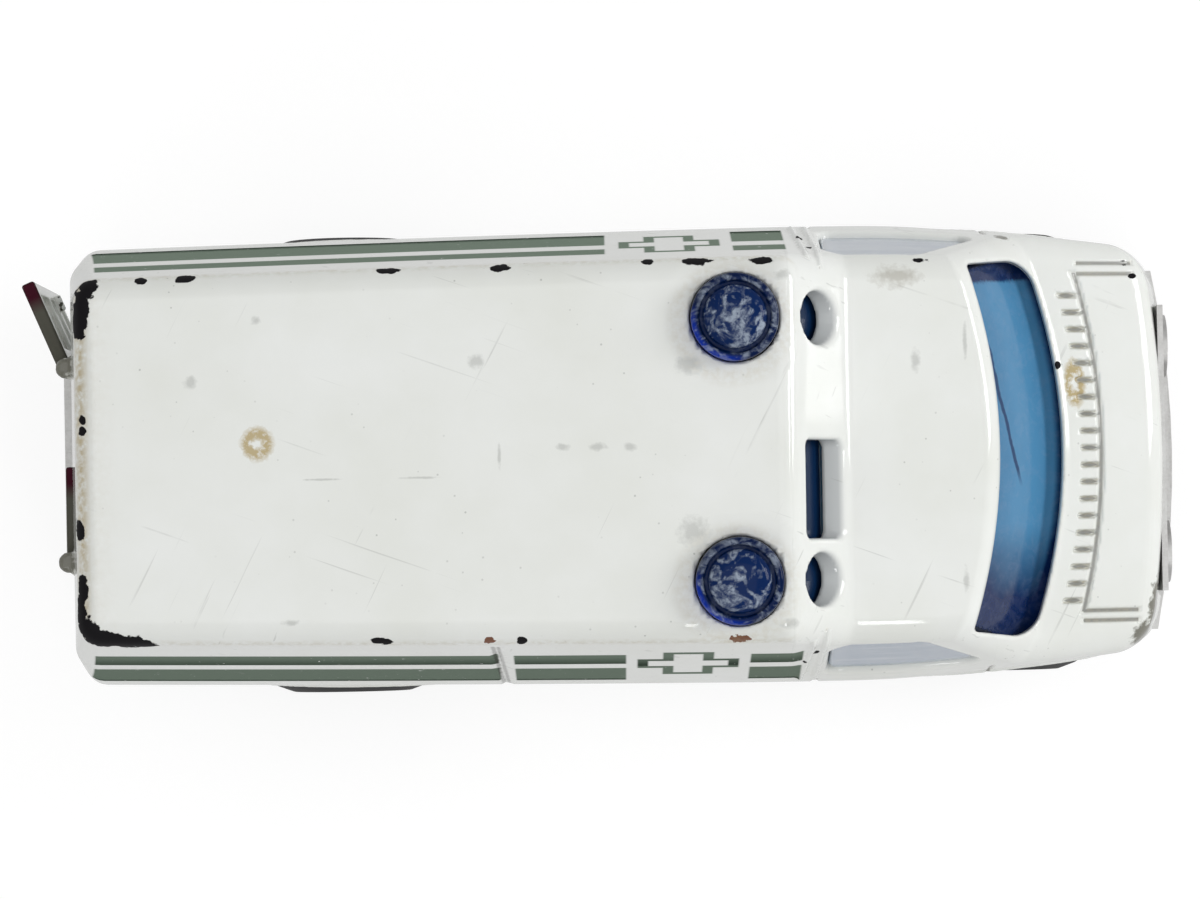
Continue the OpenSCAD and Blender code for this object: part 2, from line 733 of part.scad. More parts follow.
// Bucket seat with its back at x
module seat(x, y, z) {
    half = 2.6;
    back_h = 9.2;
    cushion_h = 2.8;
    cushion_len = 5.7;
    front = x + cushion_len;
    across(rounded_outline([[x, z - sunk], [front, z - sunk], [front, z + cushion_h],
        [x + 1.9, z + cushion_h - 0.2], [x + 0.6, z + back_h], [x - 0.9, z + back_h]], 0.5),
        y - half, y + half);
}

// Steering wheel on its column, along local +Z
module steering_wheel() {
    column = 1.9;
    rim_r = 1.35;
    rim_t = 0.28;
    spoke_w = 0.4;
    cylinder(r = 0.35, h = column);
    translate([0, 0, column]) rotate_extrude() translate([rim_r, 0]) circle(r = rim_t);
    for (a = [90, 210, 330]) rotate([0, 0, a])
        translate([0, -spoke_w / 2, column - spoke_w / 2]) cube([rim_r, spoke_w, spoke_w]);
}

// Door leaf in its closed place on the left side, with its barrel and stub pins
module leaf() {
    frame_w = 0.8;
    window_low = door_top_z - 6.0;
    rail_z = door_bottom_z + 3.5;
    inner_edge = -leaf_len + frame_w;
    outer_edge = -barrel_r - frame_w;
    difference() {
        union() {
            box([-leaf_outer, -leaf_len, door_bottom_z], [leaf_inner, 0, door_top_z]);
            post([0, 0], barrel_r, door_bottom_z, door_top_z);
            post([0, 0], hinge_pin_r, base_top_z + 4 * run_gap, door_top_z + hinge_pin_up);
        }
        // Window recess and two panel recesses in the outer face
        face_recess([inner_edge, window_low], [outer_edge, door_top_z - frame_w], 0.7);
        face_recess([inner_edge, rail_z + frame_w], [outer_edge, window_low - frame_w], 0.3);
        face_recess([inner_edge, door_bottom_z + frame_w], [outer_edge, rail_z], 0.3);
    }
}

// Shallow rounded recess in the leaf's outer face between two (y, z) corners
module face_recess(low, high, r) {
    deep = 0.25;
    along(rounded_outline([low, [high[0], low[1]], high, [low[0], high[1]]], r),
        -leaf_outer - 1, -leaf_outer + deep);
}

module rear_door_left() color(white) translate([x_shift + hinge_x, hinge_y, 0])
    rotate([0, 0, -door_open]) leaf();

module rear_door_right() color(white) translate([x_shift + hinge_x, -hinge_y, 0])
    mirror([0, 1, 0]) leaf();

// Axle wire with a formed head at each end, for wheels with their outer faces this far apart
hub_recess = 0.75;
head_t = 0.45;
head_out = 0.35;

module axle(x, track) color(grey) translate([x_shift + x, 0, axle_z]) rotate([90, 0, 0]) {
    half = track / 2 - hub_recess + 0.1;
    cylinder(r = axle_r, h = 2 * half, center = true);
    for (side = [-1, 1]) translate([0, 0, side * (half + head_t / 2)])
        cylinder(r = axle_r + head_out, h = head_t, center = true);
}

module front_axle() axle(front_axle_x, front_track);
module rear_axle() axle(rear_axle_x, rear_track);

// Wheel drawn about its axis, with its outer face at z = 0 and its inner face below
hub_r = 3.1;
hub_t = 0.9;

module wheel() {
    r = wheel_d / 2;
    bore_r = axle_r + run_gap;
    boss_r = 2.0;
    boss_z = 0.6 - wheel_w;
    well_z = 1.6 - wheel_w;
    seat_z = -hub_recess - hub_t;
    outline = concat(
        [[bore_r, boss_z], [boss_r, boss_z], [boss_r, well_z], [r - 1.3, well_z], [r - 1.1, -wheel_w]],
        corner_arc([r - 1.1, -wheel_w], [r, -wheel_w], [r, 0], 0.6, 4),
        corner_arc([r, -wheel_w], [r, 0], [hub_r, 0], 0.7, 4),
        [[r - 1.25, 0], [r - 1.5, -0.25], [hub_r + 0.2, -0.35], [hub_r, -0.5], [hub_r, seat_z],
            [bore_r, seat_z]]
    );
    rotate_extrude() polygon(outline);
}

// Hub insert: a dished disc with a rim, a centre boss and five openings between spokes
module hub() {
    top = -hub_recess;
    bore_r = axle_r + run_gap;
    boss_r = 1.3;
    opening_r = 0.42;
    opening_at = 2.05;
    opening_deep = 0.55;
    openings = 5;
    difference() {
        rotate_extrude() polygon([[bore_r, top - hub_t], [hub_r, top - hub_t], [hub_r, top + 0.15],
            [hub_r - 0.3, top + 0.2], [hub_r - 0.55, top - 0.3], [boss_r + 0.2, top - 0.15], [boss_r, top],
            [bore_r, top]]);
        for (i = [0:openings - 1]) rotate([0, 0, 360 * i / openings])
            translate([opening_at, 0, top - opening_deep]) cylinder(r = opening_r, h = 2);
    }
}

// Stands a wheel or hub at an axle, facing outwards on the given side
module at_wheel(x, track, side) {
    translate([x_shift + x, side * track / 2, axle_z]) rotate([-90 * side, 0, 0]) children();
}

module wheel_front_left() color(black) at_wheel(front_axle_x, front_track, 1) wheel();
module wheel_front_right() color(black) at_wheel(front_axle_x, front_track, -1) wheel();
module wheel_rear_left() color(black) at_wheel(rear_axle_x, rear_track, 1) wheel();
module wheel_rear_right() color(black) at_wheel(rear_axle_x, rear_track, -1) wheel();
module hub_front_left() color(grey) at_wheel(front_axle_x, front_track, 1) hub();
module hub_front_right() color(grey) at_wheel(front_axle_x, front_track, -1) hub();
module hub_rear_left() color(grey) at_wheel(rear_axle_x, rear_track, 1) hub();
module hub_rear_right() color(grey) at_wheel(rear_axle_x, rear_track, -1) hub();

module base_rivets() color(grey) translate([x_shift, 0, 0])
    for (p = rivet_places) {
        post(p, rivet_r, base_z - sunk, base_top_z + rivet_len);
        translate([p[0], p[1], base_z]) rotate_extrude()
            polygon([[0, 0], [rivet_head_r, 0], [rivet_head_r, -0.15], [rivet_head_r - 0.35, -0.4],
                [0, -0.5]]);
    }

body_shell();
base_plate();
cab_glazing();
front_lamp_lens();
beacon_left();
beacon_right();
interior_tray();
rear_door_left();
rear_door_right();
front_axle();
rear_axle();
wheel_front_left();
wheel_front_right();
wheel_rear_left();
wheel_rear_right();
hub_front_left();
hub_front_right();
hub_rear_left();
hub_rear_right();
base_rivets();
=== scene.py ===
"""Looks of a die-cast toy ambulance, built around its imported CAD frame.

Lengths are millimetres, counted along X from the van's rear face, with Y to its left and Z up. The
rear doors' hinge in the frame says where that face stands, and meshes are written in metres in the
frame's own axes.
"""

import itertools
import json
import logging
import math
from dataclasses import dataclass, field
from enum import Enum
from typing import Callable, Optional, Sequence, Union

import bpy
import numpy as np
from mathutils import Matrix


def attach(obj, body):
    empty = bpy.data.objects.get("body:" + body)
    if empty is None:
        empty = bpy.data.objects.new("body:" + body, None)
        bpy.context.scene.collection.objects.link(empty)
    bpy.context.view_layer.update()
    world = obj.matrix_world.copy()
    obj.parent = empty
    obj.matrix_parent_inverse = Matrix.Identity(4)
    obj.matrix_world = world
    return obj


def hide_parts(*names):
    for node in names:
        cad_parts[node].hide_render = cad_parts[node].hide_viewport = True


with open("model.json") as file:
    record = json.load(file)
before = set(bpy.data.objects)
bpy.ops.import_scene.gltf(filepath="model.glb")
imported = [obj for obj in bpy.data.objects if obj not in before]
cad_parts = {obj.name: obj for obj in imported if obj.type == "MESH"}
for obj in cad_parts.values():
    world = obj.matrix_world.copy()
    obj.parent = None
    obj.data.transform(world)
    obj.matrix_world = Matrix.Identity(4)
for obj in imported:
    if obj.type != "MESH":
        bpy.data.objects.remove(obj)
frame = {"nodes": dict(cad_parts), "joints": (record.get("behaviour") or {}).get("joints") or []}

LOG = logging.getLogger("ambulance")
MM = 0.001
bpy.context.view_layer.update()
# a distance that counts as nowhere near, and how steeply lines fade past their ends
FAR = 9.0
STEEP = 9.0
LEAST_RADIUS = 0.1
SIDES = (("left", 1.0), ("right", -1.0))
Array = np.ndarray
Field = Callable[[Array, Array, Array], Array]


def joint_place(name: str) -> Array:
    """Finds where a joint of the frame stands.

    Args:
        name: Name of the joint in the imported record.

    Returns:
        The joint's point in millimetres in the frame's axes.
    """
    found = next(joint for joint in frame["joints"] if joint["name"] == name)
    return np.array(found["pos_m"]) / MM


def clamp01(t: Array) -> Array:
    """Limits values to the range from 0 to 1."""
    return np.clip(t, 0.0, 1.0)


def rise(t: Array, start: float, run: float) -> Array:
    """Rises from 0 at start to 1 after the given run."""
    return clamp01((t - start) / run)


def soft_ramp(t: Array, width: float) -> Array:
    """Gives t above zero and nothing below it, with a bend about width wide."""
    return 0.5 * (t + np.sqrt(t * t + width * width))


def round_max(a: Array, b: Array, radius: Union[float, Array]) -> Array:
    """Meets two distance fields in a convex edge of the given radius."""
    outside = np.hypot(np.maximum(radius + a, 0.0), np.maximum(radius + b, 0.0))
    return np.minimum(-radius, np.maximum(a, b)) + outside


def round_min(a: Array, b: Array, radius: float) -> Array:
    """Joins two distance fields with a hollow fillet of the given radius."""
    return -round_max(-a, -b, radius)


def box_distance(offsets: Sequence[Array], halves: Sequence[float], radius: float = 0.0) -> Array:
    """Signed distance to a box with rounded edges.

    Args:
        offsets: Coordinates measured from the box's centre, one array for each axis.
        halves: Half the box's size along each axis.
        radius: Radius of the edges.

    Returns:
        Distances, negative inside.
    """
    gaps = [np.abs(offset) - (half - radius) for offset, half in zip(offsets, halves)]
    outside = np.sqrt(sum(np.maximum(gap, 0.0) ** 2 for gap in gaps))
    deepest = gaps[0]
    for gap in gaps[1:]:
        deepest = np.maximum(deepest, gap)
    return outside + np.minimum(deepest, 0.0) - radius


def corner_arc(a: Array, b: Array, c: Array, radius: float, steps: int) -> Array:
    """Points of the arc that rounds the corner b between a and c.

    Args:
        a: Corner before it.
        b: The corner.
        c: Corner after it.
        radius: Radius of the arc.
        steps: Number of its straight pieces.

    Returns:
        Points of the arc, one row each.
    """
    u = (a - b) / np.linalg.norm(a - b)
    w = (c - b) / np.linalg.norm(c - b)
    half = math.acos(float(np.clip(u @ w, -1.0, 1.0))) / 2
    middle = b + (u + w) / np.linalg.norm(u + w) * radius / math.sin(half)
    reach = radius / math.tan(half)
    p = b + u * reach - middle
    q = b + w * reach - middle
    start = math.atan2(p[1], p[0])
    sweep = (math.atan2(q[1], q[0]) - start + math.pi) % math.tau - math.pi
    turn = start + sweep * np.linspace(0.0, 1.0, steps + 1)
    return middle + radius * np.stack([np.cos(turn), np.sin(turn)], axis=1)


def rounded_outline(points: Sequence[Sequence[float]], radii: Sequence[float], steps: int = 6) -> Array:
    """Closed outline with every corner rounded, corners of radius zero being kept sharp.

    Args:
        points: Corners of the outline.
        radii: Radius at each corner.
        steps: Number of straight pieces in each arc.

    Returns:
        Points of the outline, one row each.
    """
    line = np.array(points, float)
    count = len(line)
    runs = [
        corner_arc(line[i - 1], line[i], line[(i + 1) % count], radii[i], steps)
        if radii[i] > 0
        else line[i : i + 1]
        for i in range(count)
    ]
    return np.concatenate(runs)


class OutlineTable:
    """Signed distance to a closed outline, kept on a lattice and read by interpolation."""

    def __init__(self, outline: Array, pitch: float = 0.1, margin: float = 4.0) -> None:
        """Fills the lattice.

        Args:
            outline: Corner points of the closed outline.
            pitch: Spacing of the lattice.
            margin: Room kept around the outline.
        """
        self.low = outline.min(0) - margin
        self.pitch = pitch
        counts = np.ceil((outline.max(0) + margin - self.low) / pitch).astype(int) + 1
        u = self.low[0] + pitch * np.arange(counts[0])[:, None]
        v = self.low[1] + pitch * np.arange(counts[1])[None, :]
        nearest = np.full(tuple(counts), np.inf)
        inside = np.zeros(tuple(counts), bool)
        for a, b in zip(outline, np.roll(outline, -1, axis=0)):
            edge = b - a
            share = ((u - a[0]) * edge[0] + (v - a[1]) * edge[1]) / max(edge @ edge, 1e-12)
            share = clamp01(share)
            gap = (u - a[0] - share * edge[0]) ** 2 + (v - a[1] - share * edge[1]) ** 2
            nearest = np.minimum(nearest, gap)
            if a[1] != b[1]:
                level = (v >= min(a[1], b[1])) & (v < max(a[1], b[1]))
                inside ^= level & (u < a[0] + (v - a[1]) * edge[0] / edge[1])
        self.values = np.sqrt(nearest) * np.where(inside, -1.0, 1.0)

    def __call__(self, u: Array, v: Array) -> Array:
        """Distances at the given places, held at the lattice's rim beyond it.

        Args:
            u: First coordinates.
            v: Second coordinates.

        Returns:
            Distances, negative inside.
        """
        u, v = np.broadcast_arrays(u, v)
        last = np.array(self.values.shape) - 1.001
        s = np.clip((u - self.low[0]) / self.pitch, 0.0, last[0])
        t = np.clip((v - self.low[1]) / self.pitch, 0.0, last[1])
        i = s.astype(int)
        j = t.astype(int)
        s = s - i
        t = t - j
        lower = self.values[i, j] * (1 - s) + self.values[i + 1, j] * s
        upper = self.values[i, j + 1] * (1 - s) + self.values[i + 1, j + 1] * s
        return lower * (1 - t) + upper * t


@dataclass
class Surface:
    """A mesh in millimetres: points, faces, and optional normals and attributes."""

    points: Array
    faces: Array
    normals: Optional[Array] = None
    attributes: dict = field(default_factory=dict)


class NetMaker:
    """Draws the zero surface of a distance field as an even net of quads."""

    CORNERS = tuple(itertools.product((0, 1), repeat=3))

    def __init__(self, distance: Field, axes: Sequence[Array], probe: float = 0.03) -> None:
        """Keeps the field and its lattice.

        Args:
            distance: The field, called with arrays of x, y and z.
            axes: Lattice coordinates along x, y and z.
            probe: Step with which slopes of the field are measured.
        """
        self.distance = distance
        self.axes = [np.asarray(axis, float) for axis in axes]
        self.probe = probe

    def slope(self, points: Array) -> Array:
        """Gradient of the field at the given points.

        Args:
            points: Places, one row each.

        Returns:
            Slopes, one row for each place.
        """
        columns = []
        for axis in range(3):
            step = np.zeros(3)
            step[axis] = self.probe
            ahead = self.distance(*(points + step).T)
            behind = self.distance(*(points - step).T)
            columns.append((ahead - behind) / (2 * self.probe))
        return np.stack(columns, axis=1)

    def settle(self, points: Array, rounds: int = 3, reach: float = 0.12) -> Array:
        """Moves points onto the surface along the field's slope.

        Args:
            points: Places near the surface, one row each.
            rounds: Number of moves.
            reach: Longest move.

        Returns:
            Places on the surface.
        """
        for _ in range(rounds):
            slope = self.slope(points)
            gap = self.distance(*points.T) / np.maximum((slope**2).sum(1), 0.2)
            points = points - np.clip(gap, -reach, reach)[:, None] * slope
        return points

    def build(self) -> Surface:
        """Makes the net, with normals from the field's slope.

        Returns:
            The net.
        """
        xs, ys, zs = self.axes
        values = self.distance(xs[:, None, None], ys[None, :, None], zs[None, None, :])
        inner = values < 0
        shape = tuple(n - 1 for n in inner.shape)
        count = sum(
            inner[i : i + shape[0], j : j + shape[1], k : k + shape[2]].astype(np.int8)
            for i, j, k in self.CORNERS
        )
        cells = np.argwhere((count > 0) & (count < 8))
        number = np.full(shape, -1)
        number[tuple(cells.T)] = np.arange(len(cells))
        points = self.crossings(values, cells)
        faces = np.concatenate([self.quads(inner, number, axis) for axis in range(3)])
        faces = faces[(faces >= 0).all(1)]
        points = self.settle(points)
        normals = self.slope(points)
        normals /= np.maximum(np.linalg.norm(normals, axis=1, keepdims=True), 1e-9)
        return Surface(points, faces, normals)

    def crossings(self, values: Array, cells: Array) -> Array:
        """Mean of the places where the field changes sign on the edges of each cell.

        Args:
            values: The field on the lattice.
            cells: Numbers of the cells that the surface crosses.

        Returns:
            One point for each cell.
        """
        total = np.zeros((len(cells), 3))
        hits = np.zeros(len(cells))
        for corner, axis in itertools.product(self.CORNERS, range(3)):
            if corner[axis]:
                continue
            step = np.eye(3, dtype=int)[axis]
            near = cells + np.array(corner)
            far = near + step
            a = values[tuple(near.T)]
            b = values[tuple(far.T)]
            cut = (a < 0) != (b < 0)
            share = np.where(cut, a / np.where(a == b, 1.0, a - b), 0.0)
            place = np.stack([self.axes[d][near[:, d]] for d in range(3)], axis=1)
            span = self.axes[axis][far[:, axis]] - self.axes[axis][near[:, axis]]
            place[:, axis] += share * span
            total += np.where(cut[:, None], place, 0.0)
            hits += cut
        return total / np.maximum(hits, 1)[:, None]

    @staticmethod
    def quads(inner: Array, number: Array, axis: int) -> Array:
        """Quads across the lattice edges along one axis that cross the surface.

        Args:
            inner: Which lattice points lie inside.
            number: Number of each cell's point, or -1.
            axis: Axis of the lattice edges.

        Returns:
            Quads that face outwards, with -1 where a cell has no point.
        """
        low = np.take(inner, range(inner.shape[axis] - 1), axis)
        high = np.take(inner, range(1, inner.shape[axis]), axis)
        edges = np.argwhere(low != high)
        b = (axis + 1) % 3
        c = (axis + 2) % 3
        held = (edges[:, b] > 0) & (edges[:, b] < number.shape[b])
        held &= (edges[:, c] > 0) & (edges[:, c] < number.shape[c])
        edges = edges[held]
        outward = low[tuple(edges.T)]
        ring = []
        for db, dc in ((-1, -1), (0, -1), (0, 0), (-1, 0)):
            cell = edges.copy()
            cell[:, b] += db
            cell[:, c] += dc
            ring.append(number[tuple(cell.T)])
        faces = np.stack(ring, axis=1)
        return np.where(outward[:, None], faces, faces[:, ::-1])


def spaced(low: float, high: float, step: float) -> Array:
    """Even coordinates from low to high, no further apart than step."""
    return np.linspace(low, high, int(math.ceil((high - low) / step)) + 1)


def revolve(outline: Array, turns: int) -> Surface:
    """Turns an (r, h) outline about the third axis.

    Args:
        outline: Points of the closed outline, counter-clockwise with r to the right and h up.
        turns: Number of faces around the axis.

    Returns:
        The closed surface.
    """
    angle = np.linspace(0.0, math.tau, turns, endpoint=False)[:, None]
    radius = outline[None, :, 0]
    height = np.broadcast_to(outline[None, :, 1], (turns, len(outline)))
    points = np.stack([radius * np.cos(angle), radius * np.sin(angle), height], axis=2)
    return Surface(points.reshape(-1, 3), grid_faces(turns, len(outline)))


def grid_faces(rows: int, columns: int) -> Array:
    """Quads between the points of a grid stored row by row that closes on itself both ways.

    Args:
        rows: Number of rows.
        columns: Number of columns.

    Returns:
        Quads, one row each.
    """
    i = np.arange(rows)[:, None]
    j = np.arange(columns)[None, :]
    after_i = (i + 1) % rows
    after_j = (j + 1) % columns
    near = i * columns
    far = after_i * columns
    corners = [near + j, far + j, far + after_j, near + after_j]
    return np.stack(np.broadcast_arrays(*corners), axis=2).reshape(-1, 4)


@dataclass(frozen=True)
class ShellForm:
    """Outer form of the van's shell as a distance field, with the sizes of the CAD part."""

    box_len: float = 42.4
    roof_z: float = 29.7
    roof_rear_in: float = 1.1
    rear_break_z: float = 20.6
    step_run: float = 3.4
    cab_roof_z: float = 24.8
    cab_roof_len: float = 8.4
    cab_roof_fall: float = 0.6
    screen_run: float = 5.1
    cowl_z: float = 16.6
    hood_len: float = 5.9
    hood_front_z: float = 14.6
    nose_run: float = 0.8
    nose_drop: float = 5.2
    half_w: float = 14.0
    rear_draw: float = 0.65
    nose_draw: float = 1.7
    belt_z: float = 14.2
    belt_step: float = 0.12
    sill_z: float = 4.0
    sill_tuck: float = 0.5
    box_lean: float = 0.19
    cab_lean: float = 0.27
    shoulder: float = 2.2
    crown: float = 0.35
    screen_bow: float = 2.85
    nose_bow: float = 0.8
    edge_r: float = 1.25
    nose_edge_r: float = 2.1
    belt_soft: float = 0.9
    wall: float = 1.2
    rear_power: float = 1.5
    nose_power: float = 2.2
    below_z: float = -12.0
    corner_radii: tuple = (4.0, 1.3, 1.5, 0.9, 1.0, 0.7, 1.5, 1.5)

    @property
    def step_x(self) -> float:
        """Foot of the step below the raised roof."""
        return self.box_len + self.step_run

    @property
    def header_x(self) -> float:
        """Front edge of the cab roof."""
        return self.step_x + self.cab_roof_len

    @property
    def cowl_x(self) -> float:
        """Foot of the windscreen."""
        return self.header_x + self.screen_run

    @property
    def hood_x(self) -> float:
        """Front edge of the hood."""
        return self.cowl_x + self.hood_len

    @property
    def nose_x(self) -> float:
        """Foremost face of the shell."""
        return self.hood_x + self.nose_run

    def corners(self) -> Array:
        """Corners of the shell's top line, from the rear face to the nose.

        Returns:
            Rows of place along the van and height.
        """
        return np.array(
            [
                [0.0, self.rear_break_z],
                [self.roof_rear_in, self.roof_z],
                [self.box_len, self.roof_z],
                [self.step_x, self.cab_roof_z],
                [self.header_x, self.cab_roof_z - self.cab_roof_fall],
                [self.cowl_x, self.cowl_z],
                [self.hood_x, self.hood_front_z],
                [self.nose_x, self.belt_z - self.nose_drop],
            ]
        )

    def profile(self) -> OutlineTable:
        """Distance table of the whole side view, closed far below the sill.

        Returns:
            The table.
        """
        line = [*self.corners(), [self.nose_x, self.below_z], [0.0, self.below_z]]
        return OutlineTable(rounded_outline(line, [*self.corner_radii, 0.0, 0.0]))

    def belt_half(self, x: Array) -> Array:
        """Half-width of the sides at the belt line.

        Args:
            x: Place along the van.

        Returns:
            Half-widths.
        """
        rear = clamp01((self.step_x - x) / self.step_x) ** self.rear_power
        nose = clamp01((x - self.step_x) / (self.nose_x - self.step_x)) ** self.nose_power
        return self.half_w - self.rear_draw * rear - self.nose_draw * nose

    def bow(self, x: Array) -> Array:
        """Forward bow of the section at a station."""
        stations = [self.step_x, self.header_x, self.cowl_x, self.nose_x]
        return np.interp(x, stations, [0.0, self.screen_bow, self.screen_bow, self.nose_bow])

    def lean(self, x: Array) -> Array:
        """Inward lean of the sides above the belt."""
        share = clamp01((x - self.box_len) / self.step_run)
        return self.box_lean + (self.cab_lean - self.box_lean) * share

    def station(self, x: Array, y: Array) -> Array:
        """Station of the section that the bow carries to a place.

        Args:
            x: Place along the van.
            y: Place across the van.

        Returns:
            Stations.
        """
        s = x + 0.0 * y
        for _ in range(3):
            s = x + self.bow(s) * (y / self.belt_half(s)) ** 2
        return s

    def top(self, x: Array) -> Array:
        """Height of the top line at a station."""
        line = self.corners()
        return np.interp(x, line[:, 0], line[:, 1])


class ShellField:
    """Distance fields of the shell with its openings and cast details."""

    FINE_PITCH = 0.05
    FINE_MARGIN = 2.0

    def __init__(self, form: ShellForm, sizes: "ShellDetail") -> None:
        """Prepares the tables.

        Args:
            form: Outer form of the shell.
            sizes: Sizes of the openings and cast details.
        """
        self.form = form
        self.sizes = sizes
        self.profile = form.profile()
        self.window = OutlineTable(self.window_outline(), self.FINE_PITCH, self.FINE_MARGIN)
        self.pane = OutlineTable(self.screen_outline(), self.FINE_PITCH, self.FINE_MARGIN)

    def window_outline(self) -> Array:
        """Side window: upright at the rear, leaning with the pillar at the front.

        Returns:
            Points of the outline, along the van and upwards.
        """
        form = self.form
        low = self.sizes.window_sill_z
        high = low + self.sizes.window_h
        rear = form.step_x - self.sizes.window_back
        front = rear + self.sizes.window_len
        pillar = form.screen_run / (form.cab_roof_z - form.cab_roof_fall - form.cowl_z)
        corners = [[rear, low], [front, low], [front - pillar * self.sizes.window_h, high], [rear, high]]
        return rounded_outline(corners, [self.sizes.window_r] * len(corners))

    def screen_outline(self) -> Array:
        """Windscreen in plan before the bow: wider and rounder at its foot.

        Returns:
            Points of the outline, along the van and across it.
        """
        head = self.form.header_x + self.sizes.screen_head
        foot = self.form.cowl_x - self.sizes.screen_foot
        above = self.sizes.screen_half - self.sizes.screen_taper
        below = self.sizes.screen_half + self.sizes.screen_taper
        sharp = self.sizes.screen_head_r
        wide = self.sizes.screen_foot_r
        corners = [[head, -above], [foot, -below], [foot, below], [head, above]]
        return rounded_outline(corners, [sharp, wide, wide, sharp])

    def outer(self, x: Array, y: Array, z: Array) -> Array:
        """The outer form without openings.

        Args:
            x: Place along the van.
            y: Place across the van.
            z: Height.

        Returns:
            Distances, negative inside.
        """
        form = self.form
        s = form.station(x, y)
        wide = form.belt_half(s)
        across = (y / wide) ** 2
        above = self.profile(s, z + form.crown * across)
        belt = np.minimum(form.belt_z, form.top(s) - form.shoulder)
        over = z - belt
        tuck = form.sill_tuck * soft_ramp(-over, form.belt_soft) / (form.belt_z - form.sill_z)
        half = wide - form.belt_step - tuck - form.lean(s) * soft_ramp(over, form.belt_soft)
        beside = (np.abs(y) - half) / np.sqrt(1.0 + form.lean(s) ** 2)
        near_nose = clamp01((s - form.cowl_x) / (form.nose_x - form.cowl_x))
        return round_max(above, beside, form.edge_r + (form.nose_edge_r - form.edge_r) * near_nose**2)

    def screen(self, x: Array, y: Array, z: Array) -> Array:
        """Windscreen opening, a plan shape bowed like the glass.

        Args:
            x: Place along the van.
            y: Place across the van.
            z: Height.

        Returns:
            Distances, negative inside.
        """
        form = self.form
        s = x + form.screen_bow * (y / form.belt_half(x)) ** 2
        return np.maximum(self.pane(s, y), form.cowl_z - self.sizes.screen_depth - z)

    def lamps(self, x: Array, y: Array, z: Array) -> Array:
        """Openings in the step face: two round ones and a rectangular one.

        Args:
            x: Place along the van.
            y: Place across the van.
            z: Height.

        Returns:
            Distances, negative inside.
        """
        form = self.form
        sizes = self.sizes
        round_ones = np.hypot(np.abs(y) - sizes.lamp_y, z - sizes.lamp_z) - sizes.lamp_d / 2
        sign = box_distance(
            (y + sizes.sign_offset, z - sizes.lamp_z + sizes.sign_drop),
            (sizes.sign_w / 2, sizes.sign_h / 2),
            sizes.sign_r,
        )
        middle = form.box_len + form.step_run / 2
        return np.maximum(np.minimum(round_ones, sign), np.abs(x - middle) - form.step_run)

    def from_axle(self, x: Array, z: Array) -> Array:
        """Distance to the nearer axle in side view."""
        axles = (self.sizes.rear_axle_x, self.sizes.front_axle_x)
        return np.minimum(*[np.hypot(x - axle, z - self.sizes.axle_z) for axle in axles])

    def arches(self, x: Array, y: Array, z: Array) -> Array:
        """Wheel openings in both sides.

        Args:
            x: Place along the van.
            y: Place across the van.
            z: Height.

        Returns:
            Distances, negative inside.
        """
        sizes = self.sizes
        return np.maximum(self.from_axle(x, z) - sizes.arch_r, sizes.arch_inner_y - np.abs(y))

    def doorway(self, x: Array, y: Array, z: Array) -> Array:
        """Opening of the rear doors.

        Args:
            x: Place along the van.
            y: Place across the van.
            z: Height.

        Returns:
            Distances, negative inside.
        """
        sizes = self.sizes
        low = self.form.sill_z - sizes.cut_past
        middle = (sizes.door_top_z + low) / 2
        halves = (sizes.cut_past, sizes.doorway_half, sizes.door_top_z - middle)
        return box_distance((x, y, z - middle), halves)

    def beacon_holes(self, x: Array, y: Array, z: Array) -> Array:
        """Holes in the roof for the beacons' stems.

        Args:
            x: Place along the van.
            y: Place across the van.
            z: Height.

        Returns:
            Distances, negative inside.
        """
        sizes = self.sizes
        around = np.hypot(x - sizes.beacon_x, np.abs(y) - sizes.lamp_y) - sizes.beacon_r - sizes.stem_gap
        return np.maximum(around, self.form.roof_z - sizes.hole_deep - z)

    def grille_recess(self, x: Array, y: Array, z: Array) -> Array:
        """Recess in the nose behind the grille panel.

        Args:
            x: Place along the van.
            y: Place across the van.
            z: Height.

        Returns:
            Distances, negative inside.
        """
        sizes = self.sizes
        middle = (sizes.grille_top_z + self.form.sill_z - sizes.cut_past) / 2
        halves = (sizes.cut_past, sizes.grille_half, sizes.grille_top_z - middle)
        along = x - self.form.nose_x - sizes.recess_out
        return box_distance((along, y, z - middle), halves, sizes.recess_r)

    def carved(self, x: Array, y: Array, z: Array) -> Array:
        """The outer form with its shallow details: grooves, louvres, seats and arch lips.

        Args:
            x: Place along the van.
            y: Place across the van.
            z: Height.

        Returns:
            Distances, negative inside.
        """
        sizes = self.sizes
        skin = self.outer(x, y, z)
        side = np.abs(y)
        upright = z > sizes.roof_detail_z
        halves = (sizes.seat_half, sizes.seat_half)
        seat = box_distance((x - sizes.beacon_x, side - sizes.lamp_y), halves, sizes.seat_r)
        dish = np.where(upright, sizes.seat_deep * clamp01(0.5 - seat / sizes.seat_soft), 0.0)
        lip = np.abs(self.from_axle(x, z) - sizes.arch_r - sizes.lip_w / 2) - sizes.lip_w / 2
        rim = sizes.lip_out * clamp01(0.5 - lip / sizes.lip_soft)
        raised = np.where(side > sizes.arch_inner_y, rim, 0.0) + self.ribs(x, y, z)
        return skin + dish - raised + self.grooves(x, y, z) + self.louvres(x, y, z)

